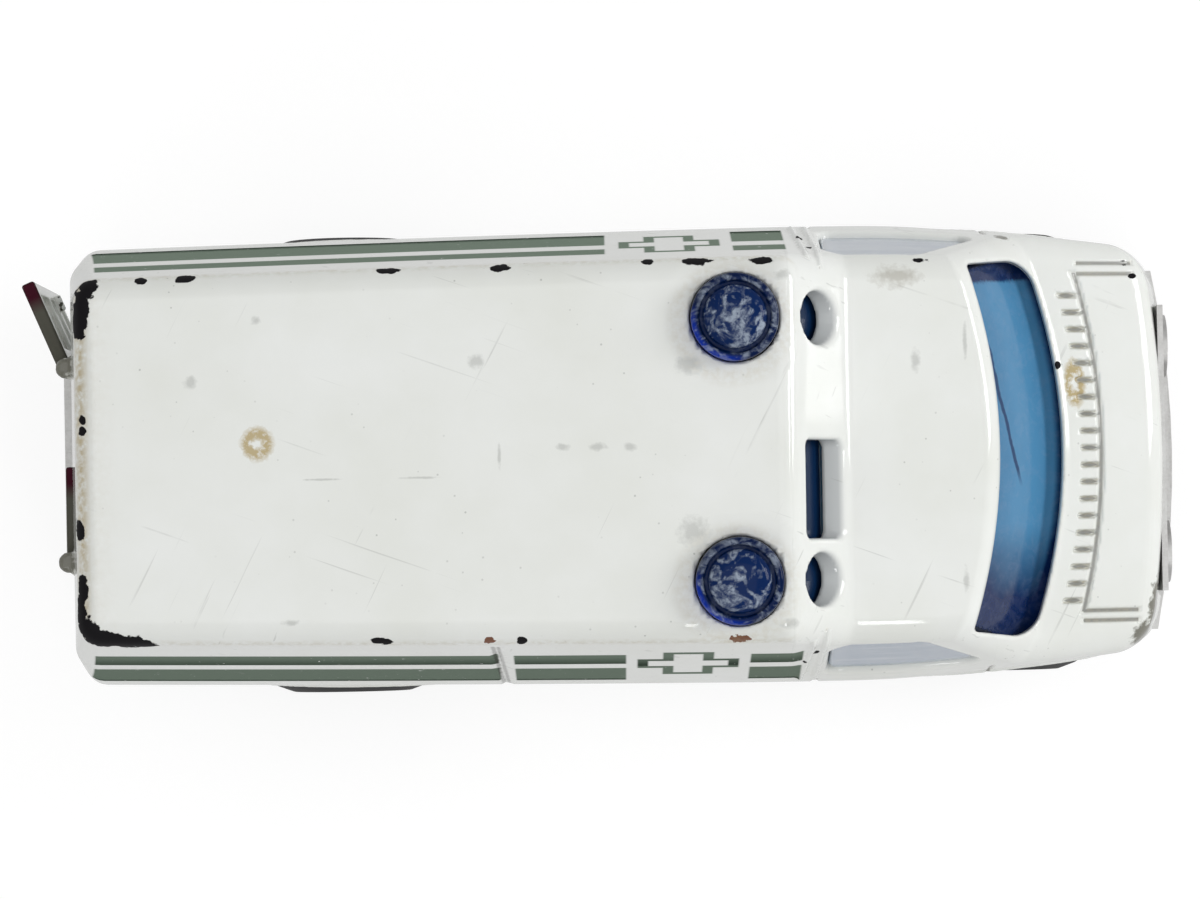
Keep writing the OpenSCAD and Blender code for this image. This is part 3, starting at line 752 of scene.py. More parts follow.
    def ribs(self, x: Array, y: Array, z: Array) -> Array:
        """Height of the two ribs behind each cab door.

        Args:
            x: Place along the van.
            y: Place across the van.
            z: Height.

        Returns:
            Heights above the skin.
        """
        sizes = self.sizes
        along = x - sizes.rib_x - sizes.rib_lean * (z - self.form.belt_z)
        gap = np.minimum(np.abs(along), np.abs(along - sizes.rib_pitch)) - sizes.rib_w / 2
        reach = self.form.belt_half(x) - self.form.lean(x) * np.maximum(z - self.form.belt_z, 0.0)
        beside = (np.abs(y) > reach - sizes.rib_reach) & (z < sizes.rib_top_z)
        beside &= z > sizes.window_sill_z - sizes.line_below
        return np.where(beside, sizes.rib_out * clamp01(0.5 - gap / sizes.rib_soft), 0.0)

    def grooves(self, x: Array, y: Array, z: Array) -> Array:
        """Depth of the shut lines in the hood, the cab doors and the right-hand side.

        Args:
            x: Place along the van.
            y: Place across the van.
            z: Height.

        Returns:
            Depths below the skin.
        """
        form = self.form
        sizes = self.sizes
        s = form.station(x, y)
        on_hood = (z > form.belt_z - sizes.hood_drop) & (s > form.cowl_x - sizes.hood_rear)
        aside = np.abs(y - sizes.hood_line_y) - sizes.hood_line_half
        across = np.maximum(np.abs(s - sizes.hood_line_x) - sizes.hood_line_flat, aside)
        rails = np.minimum.reduce([np.abs(y - rail) + 0.0 * x for rail in sizes.hood_rails])
        beyond = np.maximum(sizes.hood_rail_rear - x, x - sizes.hood_rail_front)
        hood = np.where(on_hood, np.minimum(across, np.maximum(rails, beyond)), FAR)
        on_side = np.abs(y) > form.half_w - sizes.side_in
        high = np.where(z > sizes.window_sill_z - sizes.line_below, FAR, 0.0)
        below = STEEP * np.maximum(0.0, sizes.door_low_z - z)
        rear_edge = np.abs(x - sizes.door_rear_x) + below
        front_edge = np.abs(x - sizes.door_front_x) + STEEP * np.maximum(0.0, sizes.arch_top_z - z)
        sill = np.abs(z - sizes.door_low_z) + STEEP * np.maximum(0.0, sizes.door_rear_x - x)
        sill = sill + STEEP * np.maximum(0.0, x - sizes.front_axle_x + sizes.arch_r)
        doors = np.minimum(np.minimum(rear_edge, front_edge), sill) + high
        doors = np.where(on_side, doors, FAR)
        lean = sizes.side_line_x + (z - form.belt_z) * sizes.side_line_lean
        above = STEEP * np.maximum(0.0, z - form.roof_z + sizes.side_line_top)
        panel = (np.abs(x - lean) + below) / sizes.side_line_wide + above
        panel = np.where(y < -sizes.arch_inner_y, panel, FAR)
        fine = np.minimum(np.minimum(hood, doors), panel)
        return sizes.groove_deep * clamp01(sizes.groove_fade - fine / sizes.groove_w)

    def louvres(self, x: Array, y: Array, z: Array) -> Array:
        """Depth of the row of louvres along the windscreen's foot.

        Args:
            x: Place along the van.
            y: Place across the van.
            z: Height.

        Returns:
            Depths below the skin.
        """
        form = self.form
        sizes = self.sizes
        s = form.station(x, y)
        turn = np.rint(y / sizes.louvre_pitch)
        aside = np.abs(y - turn * sizes.louvre_pitch)
        within = np.abs(turn) <= sizes.louvre_count // 2
        halves = (sizes.louvre_len / 2, sizes.louvre_w / 2)
        slot = box_distance((s - sizes.louvre_x, aside), halves, sizes.louvre_r)
        on_hood = (z > form.belt_z) & within
        return np.where(on_hood, sizes.louvre_deep * clamp01(0.5 - slot / sizes.louvre_soft), 0.0)

    def shell(self, x: Array, y: Array, z: Array) -> Array:
        """The finished shell: skin, wall, openings and hinge ears.

        Args:
            x: Place along the van.
            y: Place across the van.
            z: Height.

        Returns:
            Distances, negative inside.
        """
        form = self.form
        sizes = self.sizes
        plain = self.outer(x, y, z)
        body = round_max(self.carved(x, y, z), -(plain + form.wall), sizes.fine_r)
        sides = np.maximum(self.window(x, z), sizes.window_inner_y - np.abs(y))
        cuts = (
            (z - form.sill_z, sizes.rim_r),
            (self.screen(x, y, z), sizes.opening_r),
            (sides, sizes.opening_r),
            (self.lamps(x, y, z), sizes.opening_r),
            (self.arches(x, y, z), sizes.rim_r),
            (self.doorway(x, y, z), sizes.doorway_r),
            (self.beacon_holes(x, y, z), sizes.fine_r),
            (self.grille_recess(x, y, z), sizes.rim_r),
        )
        for cut, radius in cuts:
            body = round_max(body, -cut, radius)
        ear = np.hypot(x - sizes.hinge_x, np.abs(y) - sizes.hinge_y) - sizes.ear_r
        tall = np.abs(z - sizes.ear_z) - sizes.ear_h / 2
        return round_min(body, round_max(ear, tall, sizes.doorway_r), sizes.fine_r)


@dataclass(frozen=True)
class ShellDetail:
    """Sizes of the openings and cast details of the shell."""

    screen_half: float = 11.1
    screen_head: float = 0.65
    screen_foot: float = 0.25
    screen_taper: float = 0.25
    screen_head_r: float = 0.3
    screen_foot_r: float = 1.3
    screen_depth: float = 3.2
    window_sill_z: float = 16.4
    window_h: float = 6.4
    window_len: float = 9.8
    window_back: float = 1.2
    lamp_y: float = 7.6
    lamp_d: float = 3.1
    lamp_z: float = 26.9
    sign_w: float = 5.7
    sign_h: float = 3.2
    sign_offset: float = 2.35
    rear_axle_x: float = 15.65
    front_axle_x: float = 55.85
    axle_z: float = 5.25
    arch_r: float = 6.2
    arch_inner_y: float = 8.8
    arch_top_z: float = 11.6
    lip_w: float = 0.9
    lip_out: float = 0.22
    hinge_x: float = -0.25
    hinge_y: float = 5.75
    doorway_half: float = 6.45
    door_top_z: float = 19.95
    ear_r: float = 0.62
    ear_z: float = 20.6
    ear_h: float = 1.3
    beacon_x: float = 39.2
    beacon_r: float = 2.55
    roof_detail_z: float = 28.4
    seat_half: float = 3.25
    seat_deep: float = 0.12
    seat_soft: float = 1.2
    grille_half: float = 8.8
    grille_top_z: float = 12.4
    hood_line_x: float = 61.45
    hood_line_half: float = 10.2
    hood_line_y: float = 0.35
    hood_rails: tuple = (10.5, 11.15, -9.8, -10.4)
    hood_rail_rear: float = 60.2
    hood_rail_front: float = 63.6
    door_rear_x: float = 44.0
    door_front_x: float = 54.6
    door_low_z: float = 6.2
    side_line_x: float = 25.4
    side_line_lean: float = -0.03
    side_line_wide: float = 1.8
    rib_x: float = 42.95
    rib_pitch: float = 0.8
    rib_lean: float = 0.05
    rib_w: float = 0.3
    rib_out: float = 0.16
    rib_top_z: float = 26.4
    groove_w: float = 0.16
    groove_deep: float = 0.16
    louvre_count: int = 19
    louvre_pitch: float = 1.02
    louvre_len: float = 1.1
    louvre_w: float = 0.3
    louvre_x: float = 60.72
    louvre_deep: float = 0.32
    louvre_r: float = 0.1
    louvre_soft: float = 0.12
    window_r: float = 0.9
    window_inner_y: float = 8.0
    sign_drop: float = 0.1
    sign_r: float = 0.45
    cut_past: float = 2.0
    stem_gap: float = 0.05
    hole_deep: float = 4.0
    recess_out: float = 1.3
    recess_r: float = 0.3
    seat_r: float = 2.2
    lip_soft: float = 0.3
    rib_reach: float = 0.6
    rib_soft: float = 0.2
    line_below: float = 1.0
    hood_drop: float = 0.5
    hood_rear: float = 0.4
    hood_line_flat: float = 0.05
    side_in: float = 5.0
    side_line_top: float = 2.2
    groove_fade: float = 1.2
    fine_r: float = 0.15
    rim_r: float = 0.25
    opening_r: float = 0.3
    doorway_r: float = 0.2


Value = Union[float, Sequence[float], "Wire"]


class Wire:
    """An output of a shader graph that adds, multiplies and compares like a number."""

    def __init__(self, graph: "Graph", socket: bpy.types.NodeSocket) -> None:
        """Keeps the graph and the socket."""
        self.graph = graph
        self.socket = socket

    def __add__(self, other: Value) -> "Wire":
        """The sum with another value."""
        return self.graph.math("ADD", self, other)

    def __radd__(self, other: Value) -> "Wire":
        """The sum with a number on the left."""
        return self.graph.math("ADD", other, self)

    def __sub__(self, other: Value) -> "Wire":
        """The value less another."""
        return self.graph.math("SUBTRACT", self, other)

    def __rsub__(self, other: Value) -> "Wire":
        """A number less the value."""
        return self.graph.math("SUBTRACT", other, self)

    def __mul__(self, other: Value) -> "Wire":
        """The product with another value."""
        return self.graph.math("MULTIPLY", self, other)

    def __rmul__(self, other: Value) -> "Wire":
        """The product with a number on the left."""
        return self.graph.math("MULTIPLY", other, self)

    def __truediv__(self, other: Value) -> "Wire":
        """The value divided by another."""
        return self.graph.math("DIVIDE", self, other)

    def __rtruediv__(self, other: Value) -> "Wire":
        """A number divided by the value."""
        return self.graph.math("DIVIDE", other, self)

    def __pow__(self, other: Value) -> "Wire":
        """The value raised to a power."""
        return self.graph.math("POWER", self, other)

    def __abs__(self) -> "Wire":
        """The value without its sign."""
        return self.graph.math("ABSOLUTE", self)

    def smaller(self, other: Value) -> "Wire":
        """The smaller of two values."""
        return self.graph.math("MINIMUM", self, other)

    def larger(self, other: Value) -> "Wire":
        """The larger of two values."""
        return self.graph.math("MAXIMUM", self, other)

    def ramp(self, low: float, high: float) -> "Wire":
        """Rises from 0 at low to 1 at high, or falls if high is the lesser."""
        return self.graph.math("MULTIPLY_ADD", self, 1 / (high - low), -low / (high - low), clamp=True)

    def band(self, low: float, high: float, soft: float = 0.06) -> "Wire":
        """Gives 1 between low and high and 0 outside, with soft edges."""
        return self.ramp(low - soft, low + soft) * self.ramp(high + soft, high - soft)

    def invert(self) -> "Wire":
        """One minus the value."""
        return 1.0 - self


class Graph:
    """The node graph of one material."""

    NOISE_ROUGHNESS = 0.55

    def __init__(self, name: str) -> None:
        """Starts a material with an empty graph.

        Args:
            name: Name of the material.
        """
        self.material = bpy.data.materials.new(name)
        self.material.use_nodes = True
        self.tree = self.material.node_tree
        self.tree.nodes.clear()
        self.output = self.node("ShaderNodeOutputMaterial")
        self.place = self.wire(self.node("ShaderNodeTexCoord"), "Object")
        self.millimetres = self.vector("SCALE", self.place, scale=1 / MM)

    def node(
        self, kind: str, settings: Optional[dict] = None, sockets: Optional[dict] = None
    ) -> bpy.types.Node:
        """Adds a node.

        Args:
            kind: Type name of the node.
            settings: Properties set before the sockets.
            sockets: Values or wires for the inputs, by name or number.

        Returns:
            The new node.
        """
        made = self.tree.nodes.new(kind)
        for key, value in (settings or {}).items():
            setattr(made, key, value)
        for key, value in (sockets or {}).items():
            if isinstance(value, Wire):
                self.tree.links.new(value.socket, made.inputs[key])
            else:
                made.inputs[key].default_value = value
        return made

    def wire(self, node: bpy.types.Node, output: Union[int, str] = 0) -> Wire:
        """Takes an output of a node."""
        return Wire(self, node.outputs[output])

    def math(self, operation: str, *values: Value, clamp: bool = False) -> Wire:
        """Works out a sum on numbers and wires."""
        settings = {"operation": operation, "use_clamp": clamp}
        return self.wire(self.node("ShaderNodeMath", settings, dict(enumerate(values))))

    def vector(self, operation: str, *values: Value, scale: Optional[float] = None) -> Wire:
        """Works out a sum on vectors.

        Args:
            operation: Name of the operation.
            values: Vectors or wires.
            scale: Factor of the SCALE operation.

        Returns:
            The result.
        """
        sockets: dict = dict(enumerate(values))
        if scale is not None:
            sockets["Scale"] = scale
        return self.wire(self.node("ShaderNodeVectorMath", {"operation": operation}, sockets))

    def axes(self, place: Wire) -> tuple:
        """Splits a vector into its three numbers."""
        made = self.node("ShaderNodeSeparateXYZ", None, {0: place})
        return tuple(self.wire(made, number) for number in range(3))

    def attribute(self, name: str) -> Wire:
        """Reads a number that a mesh carries at its points."""
        settings = {"attribute_type": "GEOMETRY", "attribute_name": name}
        return self.wire(self.node("ShaderNodeAttribute", settings), "Fac")

    def noise(
        self,
        scale: float,
        detail: float = 3.0,
        stretch: Sequence[float] = (1, 1, 1),
        seed: float = 0.0,
        swirl: float = 0.0,
        turn: float = 0.0,
    ) -> Wire:
        """Even noise from 0 to 1 over the piece.

        Args:
            scale: Cycles for each millimetre.
            detail: Number of finer layers.
            stretch: Factors on the three axes.
            seed: Shift that gives another pattern.
            swirl: How far the pattern is twisted.
            turn: Angle about the upright axis, in radians, before the stretch.

        Returns:
            The noise.
        """
        place = self.millimetres
        if turn:
            sockets = {"Vector": place, "Angle": turn}
            place = self.wire(self.node("ShaderNodeVectorRotate", {"rotation_type": "Z_AXIS"}, sockets))
        place = self.vector("MULTIPLY", place, tuple(stretch))
        place = self.vector("ADD", place, (seed, seed * 1.7, seed * 0.6))
        sockets = {"Vector": place, "Scale": scale, "Detail": detail, "Distortion": swirl}
        sockets["Roughness"] = self.NOISE_ROUGHNESS
        return self.wire(self.node("ShaderNodeTexNoise", None, sockets), 0)

    def specks(self, scale: float, seed: float = 0.0) -> Wire:
        """Distance to the nearest of scattered points.

        Args:
            scale: Points for each millimetre.
            seed: Shift that gives another pattern.

        Returns:
            The distance.
        """
        place = self.vector("ADD", self.millimetres, (seed, seed * 1.3, seed * 0.7))
        made = self.node("ShaderNodeTexVoronoi", None, {"Vector": place, "Scale": scale})
        return self.wire(made, "Distance")

    def mix(self, share: Value, a: Value, b: Value) -> Wire:
        """Blends two colours.

        Args:
            share: Share of the second colour.
            a: First colour.
            b: Second colour.

        Returns:
            The blend.
        """
        sockets = {0: share, 6: a, 7: b}
        made = self.node("ShaderNodeMix", {"data_type": "RGBA"}, sockets)
        return self.wire(made, 2)

    def bump(self, height: Wire, depth_mm: float) -> Wire:
        """Normal of a surface raised by height times a depth."""
        sockets = {"Height": height, "Distance": depth_mm * MM}
        return self.wire(self.node("ShaderNodeBump", None, sockets))

    def surface(self, **sockets: Value) -> bpy.types.Material:
        """Closes the graph with a Principled surface.

        Args:
            sockets: Values or wires by socket name, with underscores for spaces.

        Returns:
            The finished material.
        """
        named = {key.replace("_", " "): value for key, value in sockets.items()}
        shader = self.node("ShaderNodeBsdfPrincipled", None, named)
        self.tree.links.new(shader.outputs[0], self.output.inputs["Surface"])
        return self.material


def linear(red: float, green: float, blue: float) -> tuple:
    """Turns an 8-bit screen colour into the linear colour of a shader."""
    parts = [c / 255 for c in (red, green, blue)]
    return (*[c / 12.92 if c <= 0.04045 else ((c + 0.055) / 1.055) ** 2.4 for c in parts], 1.0)


class Mark(Enum):
    """What shows where the paint is damaged or dirty, and the painted shade beside the beacons."""

    METAL = "metal"
    RUST = "rust"
    STAIN = "stain"
    SMUDGE = "smudge"
    WORN = "worn"
    SCUFF = "scuff"
    GRIME = "grime"


@dataclass(frozen=True)
class Blemish:
    """A located mark on the paint: its kind, centre and half-sizes in millimetres."""

    kind: Mark
    centre: tuple
    halves: tuple


@dataclass(frozen=True)
class MarkLook:
    """How a kind of mark fades at its edge: once outwards, or on both sides of a broken ring."""

    rough: float
    fade: tuple
    strength: float = 1.0
    broken: Optional[tuple] = None
    ring_soft: float = 0.15

    def mask(self, gap: Wire, fine: Wire) -> Wire:
        """Mask of one mark.

        Args:
            gap: Distance from the mark's centre as a share of its half-sizes.
            fine: Noise that breaks up the outline.

        Returns:
            The mask, from 0 to 1.
        """
        ragged = gap + fine * self.rough
        if self.broken is None:
            return ragged.ramp(*self.fade) * self.strength
        return ragged.band(*self.fade, self.ring_soft) * fine.ramp(*self.broken) * self.strength


MARK_LOOKS = {
    Mark.METAL: MarkLook(2.0, (1.94, 1.86)),
    Mark.RUST: MarkLook(2.0, (1.94, 1.86)),
    Mark.STAIN: MarkLook(0.9, (0.75, 1.35), 0.9, broken=(0.32, 0.5)),
    Mark.SMUDGE: MarkLook(1.3, (1.6, 1.0), 0.42),
    Mark.WORN: MarkLook(1.6, (1.9, 1.1), 0.6),
    Mark.SCUFF: MarkLook(1.4, (1.8, 1.45), 0.9),
    Mark.GRIME: MarkLook(0.3, (1.05, 1.2), 0.45, broken=(0.4, 0.8)),
}

# each row holds a mark's centre from the rear face and its half-sizes, in millimetres
BLEMISH_ROWS = {
    Mark.METAL: (
        ((1.95, 9.8, 28.8), (0.69, 0.75, 1.3)),
        ((1.6, 9.1, 28.8), (0.62, 1.12, 1.3)),
        ((1.45, 8, 28.8), (0.5, 1, 1.3)),
        ((4.95, 10.45, 28.8), (0.38, 0.3, 0.55)),
        ((7.6, 10.5, 28.8), (0.59, 0.3, 0.55)),
        ((19.3, 10.75, 28.8), (0.72, 0.3, 0.55)),
        ((25.7, 10.75, 28.8), (0.68, 0.3, 0.55)),
        ((34.2, 11, 28.8), (0.42, 0.3, 0.55)),
        ((37.1, 10.95, 28.8), (0.94, 0.3, 0.55)),
        ((40.9, 10.85, 28.8), (0.77, 0.3, 0.55)),
        ((1.25, -8.6, 28.8), (0.44, 0.88, 1.3)),
        ((1.65, -9.7, 28.8), (0.69, 1, 1.3)),
        ((2.5, -10.3, 28.8), (1.19, 0.62, 1.3)),
        ((3.6, -10.5, 28.8), (1.19, 0.53, 1.3)),
        ((4.6, -10.65, 28.8), (1, 0.31, 1.3)),
        ((1.55, 2.4, 28.8), (0.25, 0.3, 1.3)),
        ((1.55, 1.75, 28.8), (0.28, 0.33, 1.3)),
        ((1.3, -4, 28.8), (0.38, 0.75, 1.3)),
        ((1.4, -7.3, 28.8), (0.38, 0.88, 1.3)),
        ((18.4, -10.65, 28.8), (0.64, 0.3, 0.55)),
        ((26.6, -10.75, 28.8), (0.34, 0.3, 0.55)),
        ((50.7, 11.1, 24.0), (0.9, 0.25, 0.5)),
        ((43.3, 12.6, 20.0), (0.22, 0.25, 0.7)),
        ((43.8, 11.9, 22.8), (0.3, 0.25, 0.5)),
        ((43.2, -12.3, 21.0), (0.22, 0.3, 0.7)),
        ((43.7, -11.7, 23.2), (0.3, 0.25, 0.5)),
        ((58.85, 5.0, 16.7), (0.2, 0.25, 0.5)),
        ((63.25, 11.2, 14.6), (0.3, 0.25, 0.4)),
        ((63.7, 10.35, 14.6), (0.3, 0.2, 0.4)),
    ),
    Mark.RUST: (
        ((24.7, -10.75, 28.8), (0.35, 0.25, 0.5)),
        ((39.15, -10.95, 28.7), (0.6, 0.3, 0.6)),
        ((37.3, -6.4, 30.0), (0.22, 0.22, 0.8)),
    ),
    Mark.STAIN: (
        ((11.57, 0.82, 29.7), (1.0, 1.05, 0.6)),
        ((59.9, 3.9, 16.3), (0.8, 1.6, 0.5)),
    ),
    Mark.SMUDGE: (
        ((29.15, 0.3, 29.7), (0.5, 0.3, 0.6)),
        ((31.15, 0.27, 29.7), (0.65, 0.3, 0.6)),
        ((33.05, 0.23, 29.7), (0.45, 0.3, 0.6)),
        ((7.78, 4.4, 29.7), (0.5, 0.45, 0.6)),
        ((24.26, 5.3, 29.7), (0.6, 0.5, 0.6)),
        ((20.9, -1.3, 29.7), (1.3, 0.1, 0.6)),
        ((15.2, -1.3, 29.7), (1.6, 0.08, 0.6)),
        ((11.6, 7.95, 29.7), (0.4, 0.3, 0.6)),
        ((25.5, -0.1, 29.7), (0.14, 0.9, 0.6)),
        ((13.3, -9.5, 29.6), (0.6, 0.22, 0.6)),
        ((49.85, 5.1, 24.5), (0.35, 0.8, 0.8)),
        # painted shade on the roof behind each beacon
        ((36.5, 4.9, 29.7), (1.0, 0.7, 0.6)),
        ((36.6, -4.7, 29.7), (1.2, 1.0, 0.6)),
        # painted shade at the front outer corner of each beacon's seat
        ((42.0, 10.0, 29.2), (0.6, 0.4, 0.6)),
        ((42.1, -10.1, 29.2), (0.7, 0.4, 0.6)),
        ((52.8, 6.3, 24.2), (0.16, 1.3, 0.8)),
        ((52.6, -7.8, 24.0), (0.22, 1.0, 0.8)),
    ),
    Mark.WORN: (
        ((48.8, 10.1, 24.3), (1.5, 0.8, 0.6)),
    ),
    Mark.SCUFF: (
        ((64.9, -9.8, 13.4), (0.7, 1.9, 1.6)),
        ((64.0, -11.2, 13.2), (1.0, 0.9, 1.6)),
        ((-0.5, 5.75, 20.8), (1.0, 1.0, 1.0)),
        ((-0.5, -5.75, 20.8), (1.0, 1.0, 1.0)),
        ((55.7, 13.0, 16.0), (0.5, 0.5, 0.6)),
        ((55.3, -12.0, 16.3), (0.8, 0.6, 0.7)),
    ),
    Mark.GRIME: (
        ((39.0, 7.3, 29.6), (3.3, 3.3, 3.3)),
        ((39.0, -7.9, 29.6), (3.3, 3.3, 3.3)),
    ),
}

BLEMISHES = tuple(Blemish(kind, *row) for kind, rows in BLEMISH_ROWS.items() for row in rows)


@dataclass(frozen=True)
class ShutLines:
    """Painted shade in the grooves: louvre slots, the hood's edges and the shut lines of the sides."""

    form: ShellForm
    sizes: ShellDetail
    width: float = 0.06
    soft: float = 0.1
    slot_from: float = 1.15
    slot_full: float = 0.65
    hood_low: float = 13.0
    hood_soft: float = 0.4

    def line(self, gap: Wire) -> Wire:
        """Mask of a thin line from the distance to it."""
        return gap.ramp(self.width + self.soft, self.width)

    def bowed(self, x: Wire, y: Wire, at: float) -> Wire:
        """Station of a place near the given station of the bowed front."""
        curve = float(self.form.bow(at) / self.form.belt_half(at) ** 2)
        return x + y * y * curve

    def louvres(self, x: Wire, y: Wire) -> Wire:
        """Lens-shaped slots along the windscreen's foot.

        Args:
            x: Place along the van.
            y: Place across the van.

        Returns:
            The mask, from 0 to 1.
        """
        sizes = self.sizes
        along = abs(self.bowed(x, y, sizes.louvre_x) - sizes.louvre_x) / (sizes.louvre_len / 2)
        turn = y.graph.math("ROUND", y / sizes.louvre_pitch)
        aside = abs(y - turn * sizes.louvre_pitch) / (sizes.louvre_w / 2)
        end = sizes.louvre_count * sizes.louvre_pitch / 2
        slots = (along * along + aside).ramp(self.slot_from, self.slot_full)
        return slots * abs(y).ramp(end + self.soft, end)

    def hood(self, x: Wire, y: Wire) -> Wire:
        """The hood's rear edge and the rails at its sides.

        Args:
            x: Place along the van.
            y: Place across the van.

        Returns:
            The mask, from 0 to 1.
        """
        sizes = self.sizes
        edge = abs(self.bowed(x, y, sizes.hood_line_x) - sizes.hood_line_x)
        edge = edge + (abs(y - sizes.hood_line_y) - sizes.hood_line_half).larger(0.0) * STEEP
        rails = abs(y - sizes.hood_rails[0])
        for rail in sizes.hood_rails[1:]:
            rails = rails.smaller(abs(y - rail))
        beyond = (sizes.hood_rail_rear - x).larger(x - sizes.hood_rail_front).larger(0.0)
        return self.line(edge.smaller(rails + beyond * STEEP))

    def sides(self, x: Wire, y: Wire, z: Wire) -> Wire:
        """The shut lines of the cab doors and the groove in the right-hand side.

        Args:
            x: Place along the van.
            y: Place across the van.
            z: Height.

        Returns:
            The mask, from 0 to 1.
        """
        sizes = self.sizes
        rear = abs(x - sizes.door_rear_x) + (sizes.door_low_z - z).larger(0.0) * STEEP
        front = abs(x - sizes.door_front_x) + (sizes.arch_top_z - z).larger(0.0) * STEEP
        end = sizes.front_axle_x - sizes.arch_r
        past = (sizes.door_rear_x - x).larger(x - end).larger(0.0)
        low = abs(z - sizes.door_low_z) + past * STEEP
        above = z - sizes.window_sill_z + sizes.line_below
        above = above.larger(sizes.arch_inner_y - abs(y)).larger(0.0)
        doors = rear.smaller(front).smaller(low) + above * STEEP
        across = abs(x - sizes.side_line_x - (z - self.form.belt_z) * sizes.side_line_lean)
        outside = (sizes.door_low_z - z).larger(z - self.form.roof_z + sizes.side_line_top)
        outside = outside.larger(y + sizes.arch_inner_y).larger(0.0)
        return self.line(doors.smaller(abs(across - sizes.groove_w) + outside * STEEP))

    def mask(self, x: Wire, y: Wire, z: Wire) -> Wire:
        """Mask of all the lines of painted shade."""
        high = z.ramp(self.hood_low, self.hood_low + self.hood_soft)
        return (self.louvres(x, y).larger(self.hood(x, y)) * high).larger(self.sides(x, y, z))


@dataclass(frozen=True)
class Livery:
    """Green stripes and outlined crosses on the box sides, and the painted shade on their green, in
    millimetres from the rear face.
    """

    left_rows: tuple = ((23.2, 25.5), (16.6, 21.4))
    right_rows: tuple = ((21.6, 24.6), (16.0, 20.2))
    left_runs: tuple = ((1.95, 31.8), (39.3, 42.4))
    right_runs: tuple = ((1.65, 25.1), (26.0, 32.6), (39.9, 43.0))
    end_lean: float = 0.13
    end_reach: float = 8.0
    # painted shade on the green: where it darkens on each side, and how much
    left_dark: tuple = (1.5, 0.4)
    right_dark: tuple = (1.2, 0.4)
    upper_dark: tuple = (0.6, -0.4, -1.0)
    right_least: float = 0.3
    right_share: float = 0.85
    side_soft: float = 0.1
    left_cross: float = 35.6
    right_cross: float = 36.25
    cross_z: float = 21.6
    cross_half_w: float = 3.0
    cross_half_h: float = 3.7
    arm_half: float = 1.5
    stroke: float = 0.65

    def cross(self, x: Wire, z: Wire, middle: float) -> Wire:
        """Mask of one outlined cross.

        Args:
            x: Place along the van.
            z: Height.
            middle: Place of its middle along the van.

        Returns:
            The mask, from 0 to 1.
        """
        aside = abs(x - middle)
        up = abs(z - self.cross_z)
        flat = (aside - self.cross_half_w).larger(up - self.arm_half)
        tall = (aside - self.arm_half).larger(up - self.cross_half_h)
        return flat.smaller(tall).band(-self.stroke, 0.0)

    def runs(self, x: Wire, runs: Sequence[Sequence[float]]) -> Wire:
        """Mask of the stretches between pairs of places along one axis.

        Args:
            x: Place along the axis.
            runs: Pairs of places.

        Returns:
            The mask, from 0 to 1.
        """
        total = x.band(*runs[0])
        for run in runs[1:]:
            total = total + x.band(*run)
        return total

    def on_left(self, y: Wire) -> Wire:
        """Gives 1 on the left-hand side and 0 on the right."""
        return y.ramp(-self.side_soft, self.side_soft)

    def edge(self, y: Wire, z: Wire) -> Wire:
        """Mask of painted shade on the green: lower edges of the wide stripes, the right side's upper
        stripe, and a little over the whole right side.

        Args:
            y: Place across the van.
            z: Height.

        Returns:
            The mask, from 0 to 1.
        """
        upper, wide = self.right_rows
        left = z.ramp(*[self.left_rows[1][0] + past for past in self.left_dark])
        right = z.ramp(*[wide[0] + past for past in self.right_dark])
        over, soft, gap = self.upper_dark
        right = right.larger(z.ramp(upper[1] + over, upper[0]) * z.ramp(upper[0] + gap, upper[0] + soft))
        side = self.on_left(y)
        return left * side + right.larger(self.right_least) * side.invert() * self.right_share

    def mask(self, x: Wire, y: Wire, z: Wire) -> Wire:
        """Mask of all the green on both sides.

        Args:
            x: Place along the van.
            y: Place across the van.
            z: Height.

        Returns:
            The mask, from 0 to 1.
        """
        x = x - (z - self.left_rows[0][1]) * self.end_lean * x.ramp(self.end_reach, 0.0)
        left = self.runs(z, self.left_rows) * self.runs(x, self.left_runs)
        left = left + self.cross(x, z, self.left_cross)
        right = self.runs(z, self.right_rows) * self.runs(x, self.right_runs)
        right = right + self.cross(x, z, self.right_cross)
        side = self.on_left(y)
        return left * side + right * side.invert()


